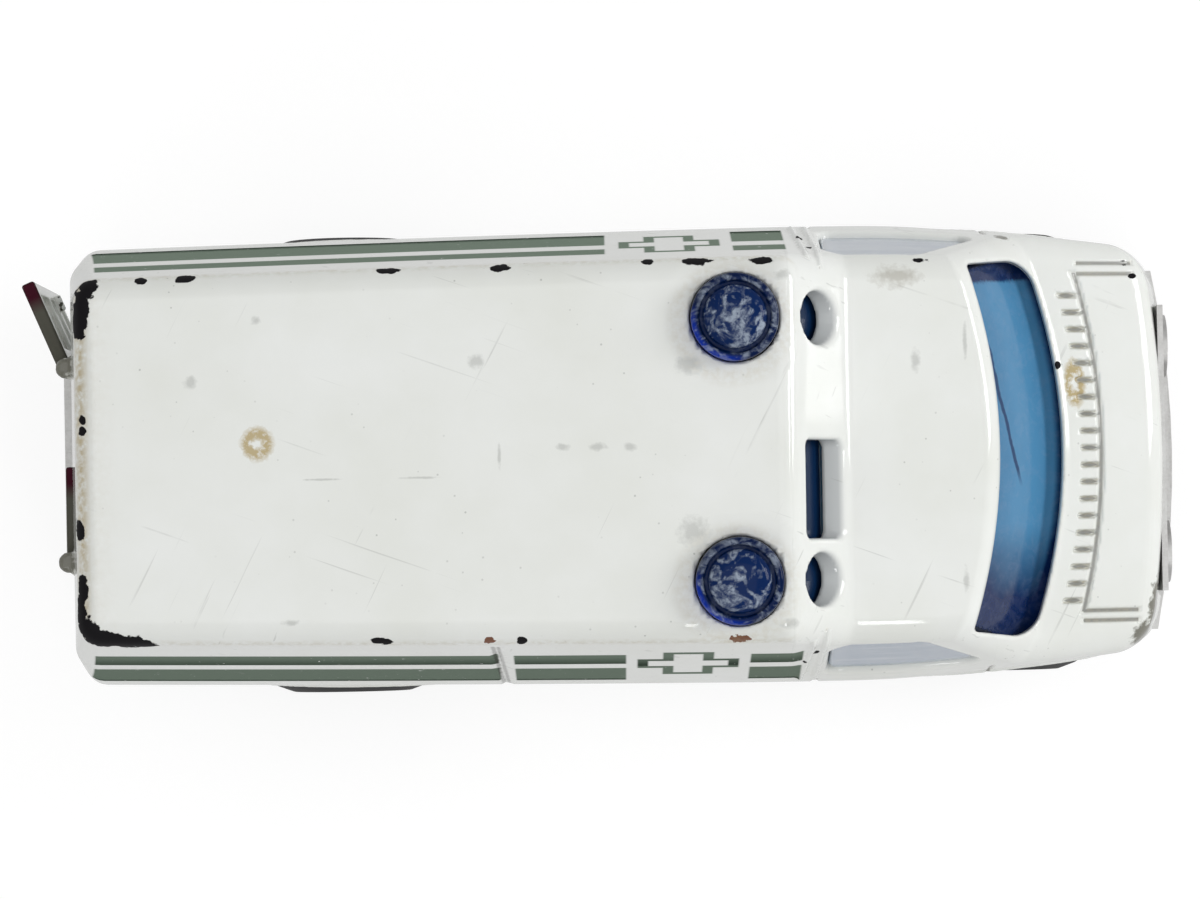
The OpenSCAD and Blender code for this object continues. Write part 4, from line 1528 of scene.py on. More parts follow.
@dataclass(frozen=True)
class Enamel:
    """Thick white gloss enamel on cast metal, with its stripes, chips and dirt, and painted shade in its
    grooves, on the lamp lips, on the green stripes, along the roof's crease and beside the beacons.
    """

    white: tuple = linear(234, 236, 233)
    shade: tuple = linear(226, 228, 222)
    green: tuple = linear(126, 140, 127)
    # the green in painted shade
    green_shade: tuple = linear(38, 50, 40)
    metal: tuple = linear(34, 33, 35)
    maroon: tuple = linear(66, 26, 38)
    rust: tuple = linear(112, 66, 40)
    stain: tuple = linear(178, 158, 108)
    smudge: tuple = linear(150, 152, 148)
    # colour of settled dirt, also used for the painted shade in the roof's crease
    grime: tuple = linear(192, 184, 162)
    worn: tuple = linear(168, 164, 152)
    scuff: tuple = linear(96, 94, 80)
    # grey of the painted shade in the grooves and slots
    groove_shade: tuple = linear(78, 78, 74)
    # grey of the painted shade on the lamp openings' lips
    lip: tuple = linear(158, 163, 167)
    rear_x: float = 0.0
    livery: Optional[Livery] = None
    lines: Optional[ShutLines] = None
    marked: bool = True
    edge_wear: float = 0.35
    hairlines: float = 0.3
    lip_shade_share: float = 0.75
    dust_share: float = 0.5
    dirt_share: float = 0.75
    dirt_most: float = 0.8
    roof_edge: tuple = (28.0, 29.0)
    rear_line: tuple = (1.45, 1.95, 0.25)
    rear_haze: tuple = (3.6, 1.6)
    # where the line of dirt and painted shade runs along the roof's crease
    crease: tuple = (28.15, 28.75, 0.2)
    crease_end: tuple = (43.0, 42.0)
    line_share: float = 0.75
    haze_share: float = 0.3
    crease_share: float = 0.45

    def material(self, name: str) -> bpy.types.Material:
        """Builds the finish.

        Args:
            name: Name of the material.

        Returns:
            The new material.
        """
        graph = Graph(name)
        x, y, z = graph.axes(graph.millimetres)
        x = x - self.rear_x
        tone = graph.noise(0.12, 4.0)
        fine = graph.noise(2.6, 5.0, seed=3.0)
        grain = graph.noise(9.0, 3.0, seed=8.0)
        outer = graph.attribute("outer")
        dirt = graph.attribute("hollow")
        colour = graph.mix(tone.ramp(0.35, 0.75), self.white, self.shade)
        # painted shade on the lips of the lamp openings in the step face
        colour = graph.mix(graph.attribute("lip") * self.lip_shade_share, colour, self.lip)
        gloss = 0.4 + outer * 0.6
        if self.livery is not None:
            green = self.livery.mask(x, y, z) * outer * fine.ramp(0.27, 0.31)
            # painted shade on the lower edges of the wide stripes and over the right side's green
            edge = self.livery.edge(y, z + fine * 0.5)
            colour = graph.mix(green, colour, graph.mix(edge, self.green, self.green_shade))
            gloss = gloss * green.invert()
        if self.lines is not None:
            # painted shade in the louvre slots, along the hood's edges and in the shut lines
            colour = graph.mix(self.lines.mask(x, y, z) * outer * (0.4 + tone * 0.5), colour, self.groove_shade)
        settled = (dirt * fine.ramp(0.3, 0.7) * self.dirt_share).smaller(self.dirt_most)
        colour = graph.mix(settled, colour, self.grime)
        patch = graph.noise(0.22, 3.0, seed=14.0)
        long_hair = graph.noise(1.0, 2.0, (0.05, 3.0, 0.6), 17.0, turn=0.35).ramp(0.68, 0.72)
        cross_hair = graph.noise(1.0, 2.0, (0.07, 2.6, 0.6), 23.0, turn=-1.1).ramp(0.7, 0.74)
        hair = long_hair.larger(cross_hair) * patch.ramp(0.45, 0.6)
        colour = graph.mix(hair * outer * self.hairlines, colour, self.smudge)
        dust = graph.specks(1.1, 5.0).ramp(0.085, 0.05) * tone.ramp(0.45, 0.6)
        colour = graph.mix(dust * self.dust_share, colour, self.smudge)
        wear = graph.attribute("wear")
        chips = (wear * self.edge_wear + fine * 1.4 + tone * 0.5).ramp(1.62, 1.68) * outer
        if self.marked:
            colour = self.grime_and_crease_shade(graph, colour, x, z, fine)
            colour, located = self.blemished(graph, colour, x, y, z, fine)
            chips = chips.larger(located)
        bare = graph.mix(graph.attribute("tip"), self.metal, self.maroon)
        colour = graph.mix(chips, colour, bare)
        height = fine * 0.06 + grain * 0.03 - chips
        return graph.surface(
            Base_Color=colour,
            Roughness=0.3 + tone * 0.08 + chips * 0.2 + dirt * 0.2,
            Coat_Weight=chips.invert() * gloss * 0.9,
            Coat_Roughness=0.05,
            Specular_IOR_Level=0.0,
            Metallic=chips * 0.4,
            Normal=graph.bump(height, 0.05),
        )

    def grime_and_crease_shade(self, graph: Graph, colour: Wire, x: Wire, z: Wire, fine: Wire) -> Wire:
        """Adds the old dirt along the rear edge of the roof, and a line in the crease below its sides'
        edges that is partly dirt and partly painted shade.

        Args:
            graph: The graph being built.
            colour: Colour of the paint so far.
            x: Place along the van.
            z: Height.
            fine: Noise that breaks up the line.

        Returns:
            The new colour.
        """
        near_top = z.ramp(*self.roof_edge)
        line = (x + fine * 0.5).band(*self.rear_line) * near_top * fine.ramp(0.3, 0.6)
        haze = x.ramp(*self.rear_haze) * near_top * fine.ramp(0.25, 0.8)
        colour = graph.mix(haze * self.haze_share, colour, self.grime)
        # partly dirt, partly painted shade along the crease
        crease = z.band(*self.crease) * x.ramp(*self.crease_end) * fine.ramp(0.35, 0.7)
        colour = graph.mix(crease * self.crease_share, colour, self.grime)
        return graph.mix(line * self.line_share, colour, self.stain)

    def blemished(self, graph: Graph, colour: Wire, x: Wire, y: Wire, z: Wire, fine: Wire) -> tuple:
        """Adds the located marks.

        Args:
            graph: The graph being built.
            colour: Colour of the paint so far.
            x: Place along the van.
            y: Place across the van.
            z: Height.
            fine: Noise that breaks up the outlines.

        Returns:
            The new colour and the mask of bare metal.
        """
        tints = {
            Mark.RUST: self.rust,
            Mark.STAIN: self.stain,
            Mark.SMUDGE: self.smudge,
            Mark.WORN: self.worn,
            Mark.SCUFF: self.scuff,
            Mark.GRIME: self.stain,
        }
        ragged = graph.noise(1.2, 6.0, seed=6.0)
        masks: dict = {}
        for blemish in BLEMISHES:
            spans = zip((x, y, z), blemish.centre, blemish.halves)
            parts = [(axis - centre) / half for axis, centre, half in spans]
            gap = (parts[0] * parts[0] + parts[1] * parts[1] + parts[2] * parts[2]) ** 0.5
            kind = blemish.kind
            mask = MARK_LOOKS[kind].mask(gap, ragged if kind is Mark.METAL else fine)
            masks[kind] = masks[kind].larger(mask) if kind in masks else mask
        for kind, tint in tints.items():
            colour = graph.mix(masks[kind], colour, tint)
        return colour, masks[Mark.METAL]


@dataclass(frozen=True)
class ClearPlastic:
    """Tinted clear plastic with scuffs, a darker tint where a mesh marks it deep (painted shade on the
    windscreen), a painted glint and painted highlight streaks where asked for, and a single scratch where
    one is placed.
    """

    tint: tuple
    deep: tuple
    scuff: tuple = linear(176, 182, 204)
    # colour of the painted glint
    glint: tuple = linear(6, 52, 176)
    ior: float = 1.49
    coat: float = 0.0
    scuffs: float = 0.0
    scuff_from: float = 0.6
    transmission: float = 0.8
    roughness: float = 0.06
    # share of painted highlight streaks
    highlight_streaks: float = 0.0
    scratch: Optional[tuple] = None
    scratch_w: float = 0.07

    def scratched(self, graph: Graph) -> Wire:
        """Mask of the scratch between two places seen from above.

        Args:
            graph: The graph being built.

        Returns:
            The mask, from 0 to 1.
        """
        x, y, _ = graph.axes(graph.millimetres)
        start_x, start_y, end_x, end_y = self.scratch
        slope = (end_x - start_x) / (end_y - start_y)
        wobble = graph.noise(0.5, 3.0, seed=7.0) * 0.5 - 0.25
        gap = abs(x - start_x - (y - start_y) * slope + wobble)
        return gap.ramp(2 * self.scratch_w, self.scratch_w) * y.band(end_y, start_y, 0.5)

    def material(self, name: str) -> bpy.types.Material:
        """Builds the finish under the given name.

        Args:
            name: Name of the material.

        Returns:
            The new material.
        """
        graph = Graph(name)
        cloud = graph.noise(0.5, 4.0)
        chalk = graph.noise(0.8, 9.0, stretch=(1.0, 1.0, 0.6), seed=11.0, swirl=1.6)
        lines = graph.noise(2.2, 6.0, seed=4.0, swirl=0.8)
        # the tint darkens where a mesh marks it deep; on the windscreen moulding that mark is painted
        # shade
        edge = graph.attribute("deep")
        colour = graph.mix((edge + cloud * 0.2).ramp(0.1, 1.0), self.tint, self.deep)
        # painted glint: a brighter blue in the base colour where a mesh marks it
        colour = graph.mix(graph.attribute("glint") * 0.85, colour, self.glint)
        rubbed = (chalk + lines * 0.3).ramp(self.scuff_from, self.scuff_from + 0.16)
        worn = (rubbed * lines.ramp(0.25, 0.62) * graph.attribute("scuff") * self.scuffs).smaller(1.0)
        colour = graph.mix(worn, colour, self.scuff)
        # painted highlight streaks, drawn in the scuff colour
        highlight_streak = graph.noise(1.3, 2.0, stretch=(0.07, 1.0, 1.0), seed=13.0).ramp(0.5, 0.62)
        colour = graph.mix(highlight_streak * self.highlight_streaks, colour, self.scuff)
        if self.scratch is not None:
            colour = graph.mix(self.scratched(graph) * 0.85, colour, self.deep)
        return graph.surface(
            Base_Color=colour,
            Roughness=self.roughness + worn * 0.45 + cloud * 0.03,
            Transmission_Weight=self.transmission,
            IOR=self.ior,
            Coat_Weight=self.coat,
            Coat_IOR=self.ior,
            Coat_Roughness=0.04,
            Normal=graph.bump(worn + chalk * 0.1, 0.02),
        )


@dataclass(frozen=True)
class CastMetal:
    """Bare cast or drawn metal, dulled by handling."""

    bright: tuple = linear(212, 212, 211)
    dark: tuple = linear(184, 183, 181)
    roughness: float = 0.34
    metallic: float = 0.85
    grain: float = 0.012

    def material(self, name: str) -> bpy.types.Material:
        """Builds the finish under the given name.

        Args:
            name: Name of the material.

        Returns:
            The new material.
        """
        graph = Graph(name)
        cloud = graph.noise(0.35, 5.0, seed=2.0)
        grain = graph.noise(6.0, 4.0, seed=6.0)
        scratch = graph.noise(2.0, 3.0, stretch=(0.15, 3.0, 3.0), seed=9.0)
        tone = (cloud * 0.7 + grain * 0.3).ramp(0.35, 0.65)
        colour = graph.mix(tone, self.dark, self.bright)
        height = grain * 0.6 + scratch.ramp(0.6, 0.64) * -0.4
        return graph.surface(
            Base_Color=colour,
            Roughness=self.roughness + cloud * 0.18,
            Metallic=self.metallic,
            Normal=graph.bump(height, self.grain),
        )


@dataclass(frozen=True)
class MouldedPlastic:
    """Opaque moulded plastic with a fine texture and dust."""

    colour: tuple
    dusty: tuple
    roughness: float = 0.5
    dust: float = 0.5

    def material(self, name: str) -> bpy.types.Material:
        """Builds the finish under the given name.

        Args:
            name: Name of the material.

        Returns:
            The new material.
        """
        graph = Graph(name)
        cloud = graph.noise(0.6, 5.0, seed=5.0)
        grain = graph.noise(8.0, 3.0, seed=1.0)
        colour = graph.mix((cloud + grain * 0.3).ramp(0.6, 0.95) * self.dust, self.colour, self.dusty)
        return graph.surface(
            Base_Color=colour,
            Roughness=self.roughness + cloud * 0.15,
            Normal=graph.bump(grain, 0.02),
        )


class Piece:
    """Writes finished surfaces into the scene as pieces that ride on the frame's bodies."""

    @staticmethod
    def make(
        name: str,
        surface: Surface,
        body: str,
        replaced: Sequence[str],
        slot: str,
        material: bpy.types.Material,
    ) -> None:
        """Makes one piece.

        Args:
            name: Name of the piece.
            surface: Its mesh in millimetres in the frame's axes.
            body: Body of the frame that it moves with.
            replaced: CAD nodes that it stands for.
            slot: Material slot of the record; not used.
            material: Its finish.
        """
        mesh = bpy.data.meshes.new(name)
        mesh.from_pydata(surface.points * MM, [], surface.faces)
        mesh.polygons.foreach_set("use_smooth", np.ones(len(mesh.polygons), bool))
        for key, values in surface.attributes.items():
            made = mesh.attributes.new(key, "FLOAT", "POINT")
            made.data.foreach_set("value", np.asarray(values, np.float32))
        mesh.update()
        if surface.normals is not None:
            mesh.normals_split_custom_set_from_vertices(surface.normals)
        mesh.materials.append(material)
        made_object = bpy.data.objects.new(name, mesh)
        bpy.context.scene.collection.objects.link(made_object)
        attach(made_object, body)
        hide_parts(*replaced)
        counts = (len(surface.points), len(surface.faces))
        LOG.info("%s: %d points, %d faces, rides on %s", name, *counts, body)


@dataclass(frozen=True)
class Placing:
    """Where the van's rear face stands in the frame."""

    hinge_out: float = 0.25

    @property
    def rear_x(self) -> float:
        """Rear face of the shell in the frame, in millimetres."""
        return float(joint_place("door_left_hinge")[0]) + self.hinge_out

    def moved(self, surface: Surface) -> Surface:
        """Shifts a surface drawn from the rear face into the frame."""
        surface.points = surface.points + np.array([self.rear_x, 0.0, 0.0])
        return surface


@dataclass(frozen=True)
class Slab:
    """One stretch of the shell and the fineness of its net."""

    name: str
    start: float
    end: float
    top: float
    steps: tuple


class BodySkin:
    """The painted shell, drawn in three stretches so that small details get a fine net."""

    SLABS = (
        Slab("body_box", -1.5, 42.8, 30.3, (0.36, 0.26, 0.26)),
        Slab("body_cab", 41.8, 55.1, 30.2, (0.18, 0.2, 0.2)),
        Slab("body_hood", 54.1, 66.6, 25.2, (0.17, 0.12, 0.16)),
    )
    WEAR_DEPTH = 0.7
    HOLLOW_REACH = 0.35
    OUTSIDE = (0.75, 0.2)
    # reach of the painted shade on the lamp openings' lips
    LIP_SHADE = (0.25, 0.3)
    MARGIN = 0.3
    SEAM = 0.5
    SINK = 0.12

    def __init__(self, shell: ShellField, placing: Placing) -> None:
        """Keeps the shell and where it stands."""
        self.shell = shell
        self.placing = placing

    def stretch(self, slab: Slab) -> Field:
        """The shell's field cut off at the ends of a stretch.

        Args:
            slab: The stretch.

        Returns:
            The field.
        """

        def cut(x: Array, y: Array, z: Array) -> Array:
            """Sinks the shell under its neighbours at both ends and cuts it off there.

            Args:
                x: Place along the van.
                y: Place across the van.
                z: Height.

            Returns:
                Distances, negative inside.
            """
            body = self.shell.shell(x, y, z)
            if slab.start > 0:
                sunk = self.SINK * clamp01((slab.start - x) / self.SEAM + 1.0)
                body = np.maximum(body + sunk, slab.start - x)
            if slab.end < self.shell.form.nose_x:
                sunk = self.SINK * clamp01((x - slab.end) / self.SEAM + 1.0)
                body = np.maximum(body + sunk, x - slab.end)
            return body

        return cut

    def dressed(self, surface: Surface) -> Surface:
        """Adds what the paint needs to know: outside faces, worn edges, dirty hollows and the painted
        shade on the lamp openings' lips.

        Args:
            surface: Mesh of a stretch, with normals.

        Returns:
            The same mesh with its attributes.
        """
        deep = surface.points - self.WEAR_DEPTH * surface.normals
        proud = surface.points + self.HOLLOW_REACH * surface.normals
        outer = self.shell.outer(*surface.points.T)
        surface.attributes["outer"] = rise(outer, -self.OUTSIDE[0], self.OUTSIDE[1])
        surface.attributes["wear"] = clamp01(1.0 + self.shell.shell(*deep.T) / self.WEAR_DEPTH)
        surface.attributes["hollow"] = clamp01(1.0 - self.shell.shell(*proud.T) / self.HOLLOW_REACH)
        # painted shade on the inner walls of the lamp openings
        within = clamp01((self.LIP_SHADE[0] - self.shell.lamps(*surface.points.T)) / self.LIP_SHADE[1])
        surface.attributes["lip"] = within * clamp01(-outer / self.LIP_SHADE[0])
        return surface

    def build(self, material: bpy.types.Material) -> None:
        """Makes the three stretches.

        Args:
            material: Finish of the pieces.
        """
        half = self.shell.form.half_w + 2 * self.MARGIN
        for slab in self.SLABS:
            axes = (
                spaced(slab.start - self.MARGIN, slab.end + self.MARGIN, slab.steps[0]),
                spaced(-half, half, slab.steps[1]),
                spaced(self.shell.form.sill_z - self.SEAM, slab.top, slab.steps[2]),
            )
            surface = self.placing.moved(self.dressed(NetMaker(self.stretch(slab), axes).build()))
            Piece.make(slab.name, surface, "body", ["body_shell"], "white_paint", material)


@dataclass(frozen=True)
class GlazingSizes:
    """Sizes of the cab's clear moulding."""

    seat_gap: float = 0.06
    thick: float = 0.9
    rear_in: float = 1.9
    low_in: float = 1.1
    top_in: float = 0.8
    step: float = 0.2
    pad_in: float = 0.3
    pad_gap: float = 0.08
    pad_r: float = 0.3
    edge_r: float = 0.12
    front_past: float = 0.1
    margin: float = 0.4
    past: float = 0.5
    across_share: float = 0.8
    pane_deep: float = 0.45
    # from here to end_lead: painted shade that darkens the windscreen's tint at its foot, its head, its
    # right side and its corners
    foot_dark: float = 0.9
    foot_from: float = 0.86
    foot_soft: float = 0.1
    head_dark: float = 0.2
    head_from: float = 0.4
    head_soft: float = 0.3
    right_from: float = 4.5
    right_soft: float = 5.0
    end_y: float = 9.7
    end_flare: float = 0.5
    end_soft: float = 0.12
    end_lead: float = 0.5


class Glazing:
    """The one blue moulding of windscreen and side windows inside the cab."""

    def __init__(
        self, shell: ShellField, placing: Placing, sizes: GlazingSizes = GlazingSizes()
    ) -> None:
        """Keeps the shell, where it stands and the sizes.

        Args:
            shell: Fields of the shell.
            placing: Where the van stands in the frame.
            sizes: Sizes of the pieces.
        """
        self.shell = shell
        self.placing = placing
        self.sizes = sizes

    def distance(self, x: Array, y: Array, z: Array) -> Array:
        """Field of the moulding: a lining of the shell, trimmed to its outline.

        Args:
            x: Place along the van.
            y: Place across the van.
            z: Height.

        Returns:
            Distances, negative inside.
        """
        form = self.shell.form
        detail = self.shell.sizes
        sizes = self.sizes
        skin = self.shell.outer(x, y, z)
        inset = form.wall + sizes.seat_gap
        lining = np.maximum(skin + inset, -(skin + inset + sizes.thick))
        top = z - form.cab_roof_z + sizes.top_in
        rear = np.maximum(form.step_x - sizes.rear_in - x, detail.window_sill_z - sizes.low_in - z)
        front = np.maximum(form.header_x - form.screen_bow - x, form.cowl_z - detail.screen_depth - z)
        trim = np.maximum(np.maximum(np.minimum(rear, front), top), x - form.cowl_x - sizes.front_past)
        return round_max(lining, trim, sizes.edge_r)

    def pane(self, x: Array, y: Array, z: Array) -> Array:
        """Field of the side windows, which stand in their openings almost flush.

        Args:
            x: Place along the van.
            y: Place across the van.
            z: Height.

        Returns:
            Distances, negative inside.
        """
        skin = self.shell.outer(x, y, z)
        edge = self.shell.window(x, z) + self.sizes.pad_gap
        deepest = self.shell.form.wall + self.sizes.seat_gap + self.sizes.thick / 2
        through = np.maximum(skin + self.sizes.pad_in, -(skin + deepest))
        return round_max(through, edge, self.sizes.pad_r)

    def panes(self, material: bpy.types.Material) -> None:
        """Makes the two side windows.

        Args:
            material: Finish of the pieces.
        """
        form = self.shell.form
        detail = self.shell.sizes
        sizes = self.sizes
        rear = form.step_x - detail.window_back - sizes.margin
        front = form.step_x - detail.window_back + detail.window_len + sizes.margin
        low = detail.window_sill_z - sizes.margin
        high = detail.window_sill_z + detail.window_h + sizes.margin
        fine = sizes.across_share * sizes.step
        across = spaced(detail.arch_inner_y, form.half_w + sizes.margin, fine)
        for side, sign in SIDES:
            axes = (
                spaced(rear, front, sizes.step),
                np.sort(sign * across),
                spaced(low, high, sizes.step),
            )
            surface = self.placing.moved(NetMaker(self.pane, axes).build())
            surface.attributes["deep"] = np.full(len(surface.points), sizes.pane_deep)
            surface.attributes["scuff"] = np.full(len(surface.points), 1.0)
            Piece.make(f"side_window_{side}", surface, "body", ["cab_glazing"], "blue_clear", material)

    def build(self, material: bpy.types.Material) -> None:
        """Makes the moulding behind the windscreen.

        Args:
            material: Finish of the pieces.
        """
        form = self.shell.form
        sizes = self.sizes
        low = form.cowl_z - self.shell.sizes.screen_depth - 2 * sizes.margin
        axes = (
            spaced(form.step_x - sizes.rear_in - sizes.past, form.cowl_x + sizes.past, sizes.step),
            spaced(-form.half_w, form.half_w, sizes.step),
            spaced(low, form.cab_roof_z, sizes.step),
        )
        surface = NetMaker(self.distance, axes).build()
        x, y, _ = surface.points.T
        s = form.station(x, y)
        along = (s - form.header_x) / (form.cowl_x - form.header_x)
        # painted shade on the windscreen: darker at its foot by the cowl, at its head, towards the right
        # side and in its corners
        foot = sizes.foot_dark * rise(along, sizes.foot_from, sizes.foot_soft)
        head = sizes.head_dark * rise(-along, -sizes.head_from, sizes.head_soft)
        right = rise(-y, sizes.right_from, sizes.right_soft)
        corner = rise(np.abs(y) - sizes.end_flare * along, sizes.end_y, sizes.end_soft)
        ends = corner * rise(s - form.header_x, -sizes.end_lead, sizes.end_lead)
        surface.attributes["deep"] = clamp01(np.maximum(foot + head + right, ends))
        surface.attributes["scuff"] = np.full(len(x), 1.0)
        surface = self.placing.moved(surface)
        Piece.make("glazing", surface, "body", ["cab_glazing"], "blue_clear", material)


@dataclass(frozen=True)
class DoorSizes:
    """Sizes of a rear door leaf, about its hinge line."""

    outer: float = 0.25
    inner: float = 0.55
    length: float = 5.675
    low: float = 6.0
    high: float = 19.8
    barrel_r: float = 0.55
    pin_r: float = 0.45
    pin_low: float = 4.8
    pin_high: float = 20.8
    rim: float = 0.8
    window_h: float = 6.0
    rail: float = 3.5
    recess: float = 0.25
    step: float = 0.1
    leaf_r: float = 0.16
    panel_r: float = 0.45
    fine_r: float = 0.1
    handle: tuple = (0.28, 0.5, 0.16)
    handle_out: float = 0.1
    handle_in: float = 1.0
    handle_up: float = 0.4
    handle_join: float = 0.06
    reach: float = 0.9
    margin: float = 0.3
    tall_share: float = 1.4
    wear_depth: float = 0.4
    hollow_reach: float = 0.25
    top_run: float = 0.5
    tip_from: float = 1.9
    tip_run: float = 0.9
    edge_share: float = 0.6
    tip_share: float = 0.1

    @property
    def middle(self) -> float:
        """Height of the leaf's middle."""
        return (self.low + self.high) / 2

    @property
    def half(self) -> float:
        """Half the leaf's height."""
        return (self.high - self.low) / 2


class RearDoors:
    """The two leaves of the rear door, each drawn closed and then swung to its place."""

    def __init__(self, sizes: DoorSizes = DoorSizes()) -> None:
        """Keeps the sizes."""
        self.sizes = sizes

    def panel(self, y: Array, z: Array, low: float, high: float) -> Array:
        """Outline of a recess between two heights.

        Args:
            y: Place across, from the hinge line.
            z: Height.
            low: Lower edge.
            high: Upper edge.

        Returns:
            Distances, negative inside.
        """
        left = -self.sizes.length + self.sizes.rim
        right = -self.sizes.barrel_r - self.sizes.rim
        offsets = (y - (left + right) / 2, z - (low + high) / 2)
        return box_distance(offsets, ((right - left) / 2, (high - low) / 2), self.sizes.panel_r)

    def distance(self, x: Array, y: Array, z: Array) -> Array:
        """Field of the left leaf, closed, with the hinge line at the origin.

        Args:
            x: Place along the van, from the hinge line.
            y: Place across, from the hinge line.
            z: Height.

        Returns:
            Distances, negative inside.
        """
        sizes = self.sizes
        thick = (sizes.outer + sizes.inner) / 2
        middle = (sizes.inner - sizes.outer) / 2
        offsets = (x - middle, y + sizes.length / 2, z - sizes.middle)
        leaf = box_distance(offsets, (thick, sizes.length / 2, sizes.half), sizes.leaf_r)
        window_low = sizes.high - sizes.window_h
        rail_z = sizes.low + sizes.rail
        recess = self.panel(y, z, window_low, sizes.high - sizes.rim)
        recess = np.minimum(recess, self.panel(y, z, rail_z + sizes.rim, window_low - sizes.rim))
        recess = np.minimum(recess, self.panel(y, z, sizes.low + sizes.rim, rail_z))
        sunk = round_max(recess, x + sizes.outer - sizes.recess, sizes.fine_r)
        leaf = round_max(leaf, -sunk, sizes.fine_r)
        around = np.hypot(x, y)
        barrel = round_max(around - sizes.barrel_r, np.abs(z - sizes.middle) - sizes.half, sizes.fine_r)
        ends = np.maximum(sizes.pin_low - z, z - sizes.pin_high)
        pin = round_max(around - sizes.pin_r, ends, sizes.fine_r)
        offsets = (
            x + sizes.outer + sizes.handle_out,
            y + sizes.length - sizes.handle_in,
            z - rail_z - sizes.handle_up,
        )
        leaf = round_min(leaf, box_distance(offsets, sizes.handle, sizes.fine_r), sizes.handle_join)
        return np.minimum(round_min(leaf, barrel, sizes.fine_r), pin)

    def build(self, material: bpy.types.Material) -> None:
        """Makes both leaves.

        Args:
            material: Finish of the pieces.
        """
        sizes = self.sizes
        low = sizes.pin_low - sizes.margin
        high = sizes.pin_high + sizes.margin
        axes = (
            spaced(-sizes.reach, sizes.reach, sizes.step),
            spaced(-sizes.length - sizes.margin, sizes.reach, sizes.step),
            spaced(low, high, sizes.tall_share * sizes.step),
        )
        closed = NetMaker(self.distance, axes).build()
        self.dress(closed)
        swing = next(j for j in frame["joints"] if j["name"] == "door_left_hinge")["range_deg"][1]
        turn = math.radians(-swing)
        c = math.cos(turn)
        s = math.sin(turn)
        spin = np.array([[c, -s, 0.0], [s, c, 0.0], [0.0, 0.0, 1.0]])
        self.place(closed, spin, "left", material)
        self.place(closed, np.diag([1.0, -1.0, 1.0]), "right", material)

    def dress(self, surface: Surface) -> None:
        """Adds what the paint needs to know, with the whole top edge worn to dark metal, which stands
        partly for worn paint and partly for painted shade.

        Args:
            surface: Mesh of the closed leaf, with normals.
        """
        sizes = self.sizes
        deep = surface.points - sizes.wear_depth * surface.normals
        proud = surface.points + sizes.hollow_reach * surface.normals
        _, y, z = surface.points.T
        # full wear along the whole top edge: partly worn paint, partly painted shade on the door tops
        top = rise(z - sizes.high, -sizes.top_run, sizes.top_run)
        tip = rise(-y - sizes.length, -sizes.tip_from, sizes.tip_run)
        edge = sizes.edge_share * clamp01(1.0 + self.distance(*deep.T) / sizes.wear_depth)
        surface.attributes["outer"] = np.ones(len(surface.points))
        surface.attributes["wear"] = clamp01(edge + top + sizes.tip_share * tip)
        surface.attributes["hollow"] = clamp01(1.0 - self.distance(*proud.T) / sizes.hollow_reach)
        surface.attributes["tip"] = tip * top

    def place(self, closed: Surface, spin: Array, side: str, material: bpy.types.Material) -> None:
        """Stands a turned copy of the leaf on its hinge.

        Args:
            closed: Mesh of the closed left leaf.
            spin: Matrix that turns or mirrors it.
            side: Which door it becomes.
            material: Finish of the pieces.
        """
        at = joint_place(f"door_{side}_hinge")
        at[2] = 0.0
        faces = closed.faces if np.linalg.det(spin) > 0 else closed.faces[:, ::-1]
        points = closed.points @ spin.T + at
        leaf = Surface(points, faces, closed.normals @ spin.T, dict(closed.attributes))
        Piece.make(f"door_{side}", leaf, f"door_{side}", [f"rear_door_{side}"], "white_paint", material)


@dataclass(frozen=True)
class BeaconSizes:
    """Sizes of a beacon, as shares of its radius where they belong to the dome."""

    radius: float = 2.55
    height: float = 1.5
    flange_r: float = 2.55
    flange_low: float = 27.34
    roof_z: float = 29.7
    rim_share: float = 0.6
    rim_in: float = 0.83
    groove_in: float = 0.72
    groove_deep: float = 0.3
    lip_lean: float = 0.04
    dome_lean: float = 0.02
    dome_drop: float = 0.05
    dome_power: float = 0.8
    dome_start: float = 0.1
    dome_rings: int = 28
    corner_steps: int = 8
    corner_radii: tuple = (0.0, 0.1, 0.3, 0.12, 0.1, 0.08, 0.0)
    deep_from: float = 1.6
    deep_run: float = 0.9
    scuff_from: float = 0.55
    scuff_run: float = 0.3
    disc_share: float = 0.7
    rim_scuff: float = 0.6
    # where the painted glint lies on the rim
    glint_from: float = 0.45
    glint_run: float = 0.4
    glint_in: float = 0.35
    glint_soft: float = 0.2
    turns: int = 128


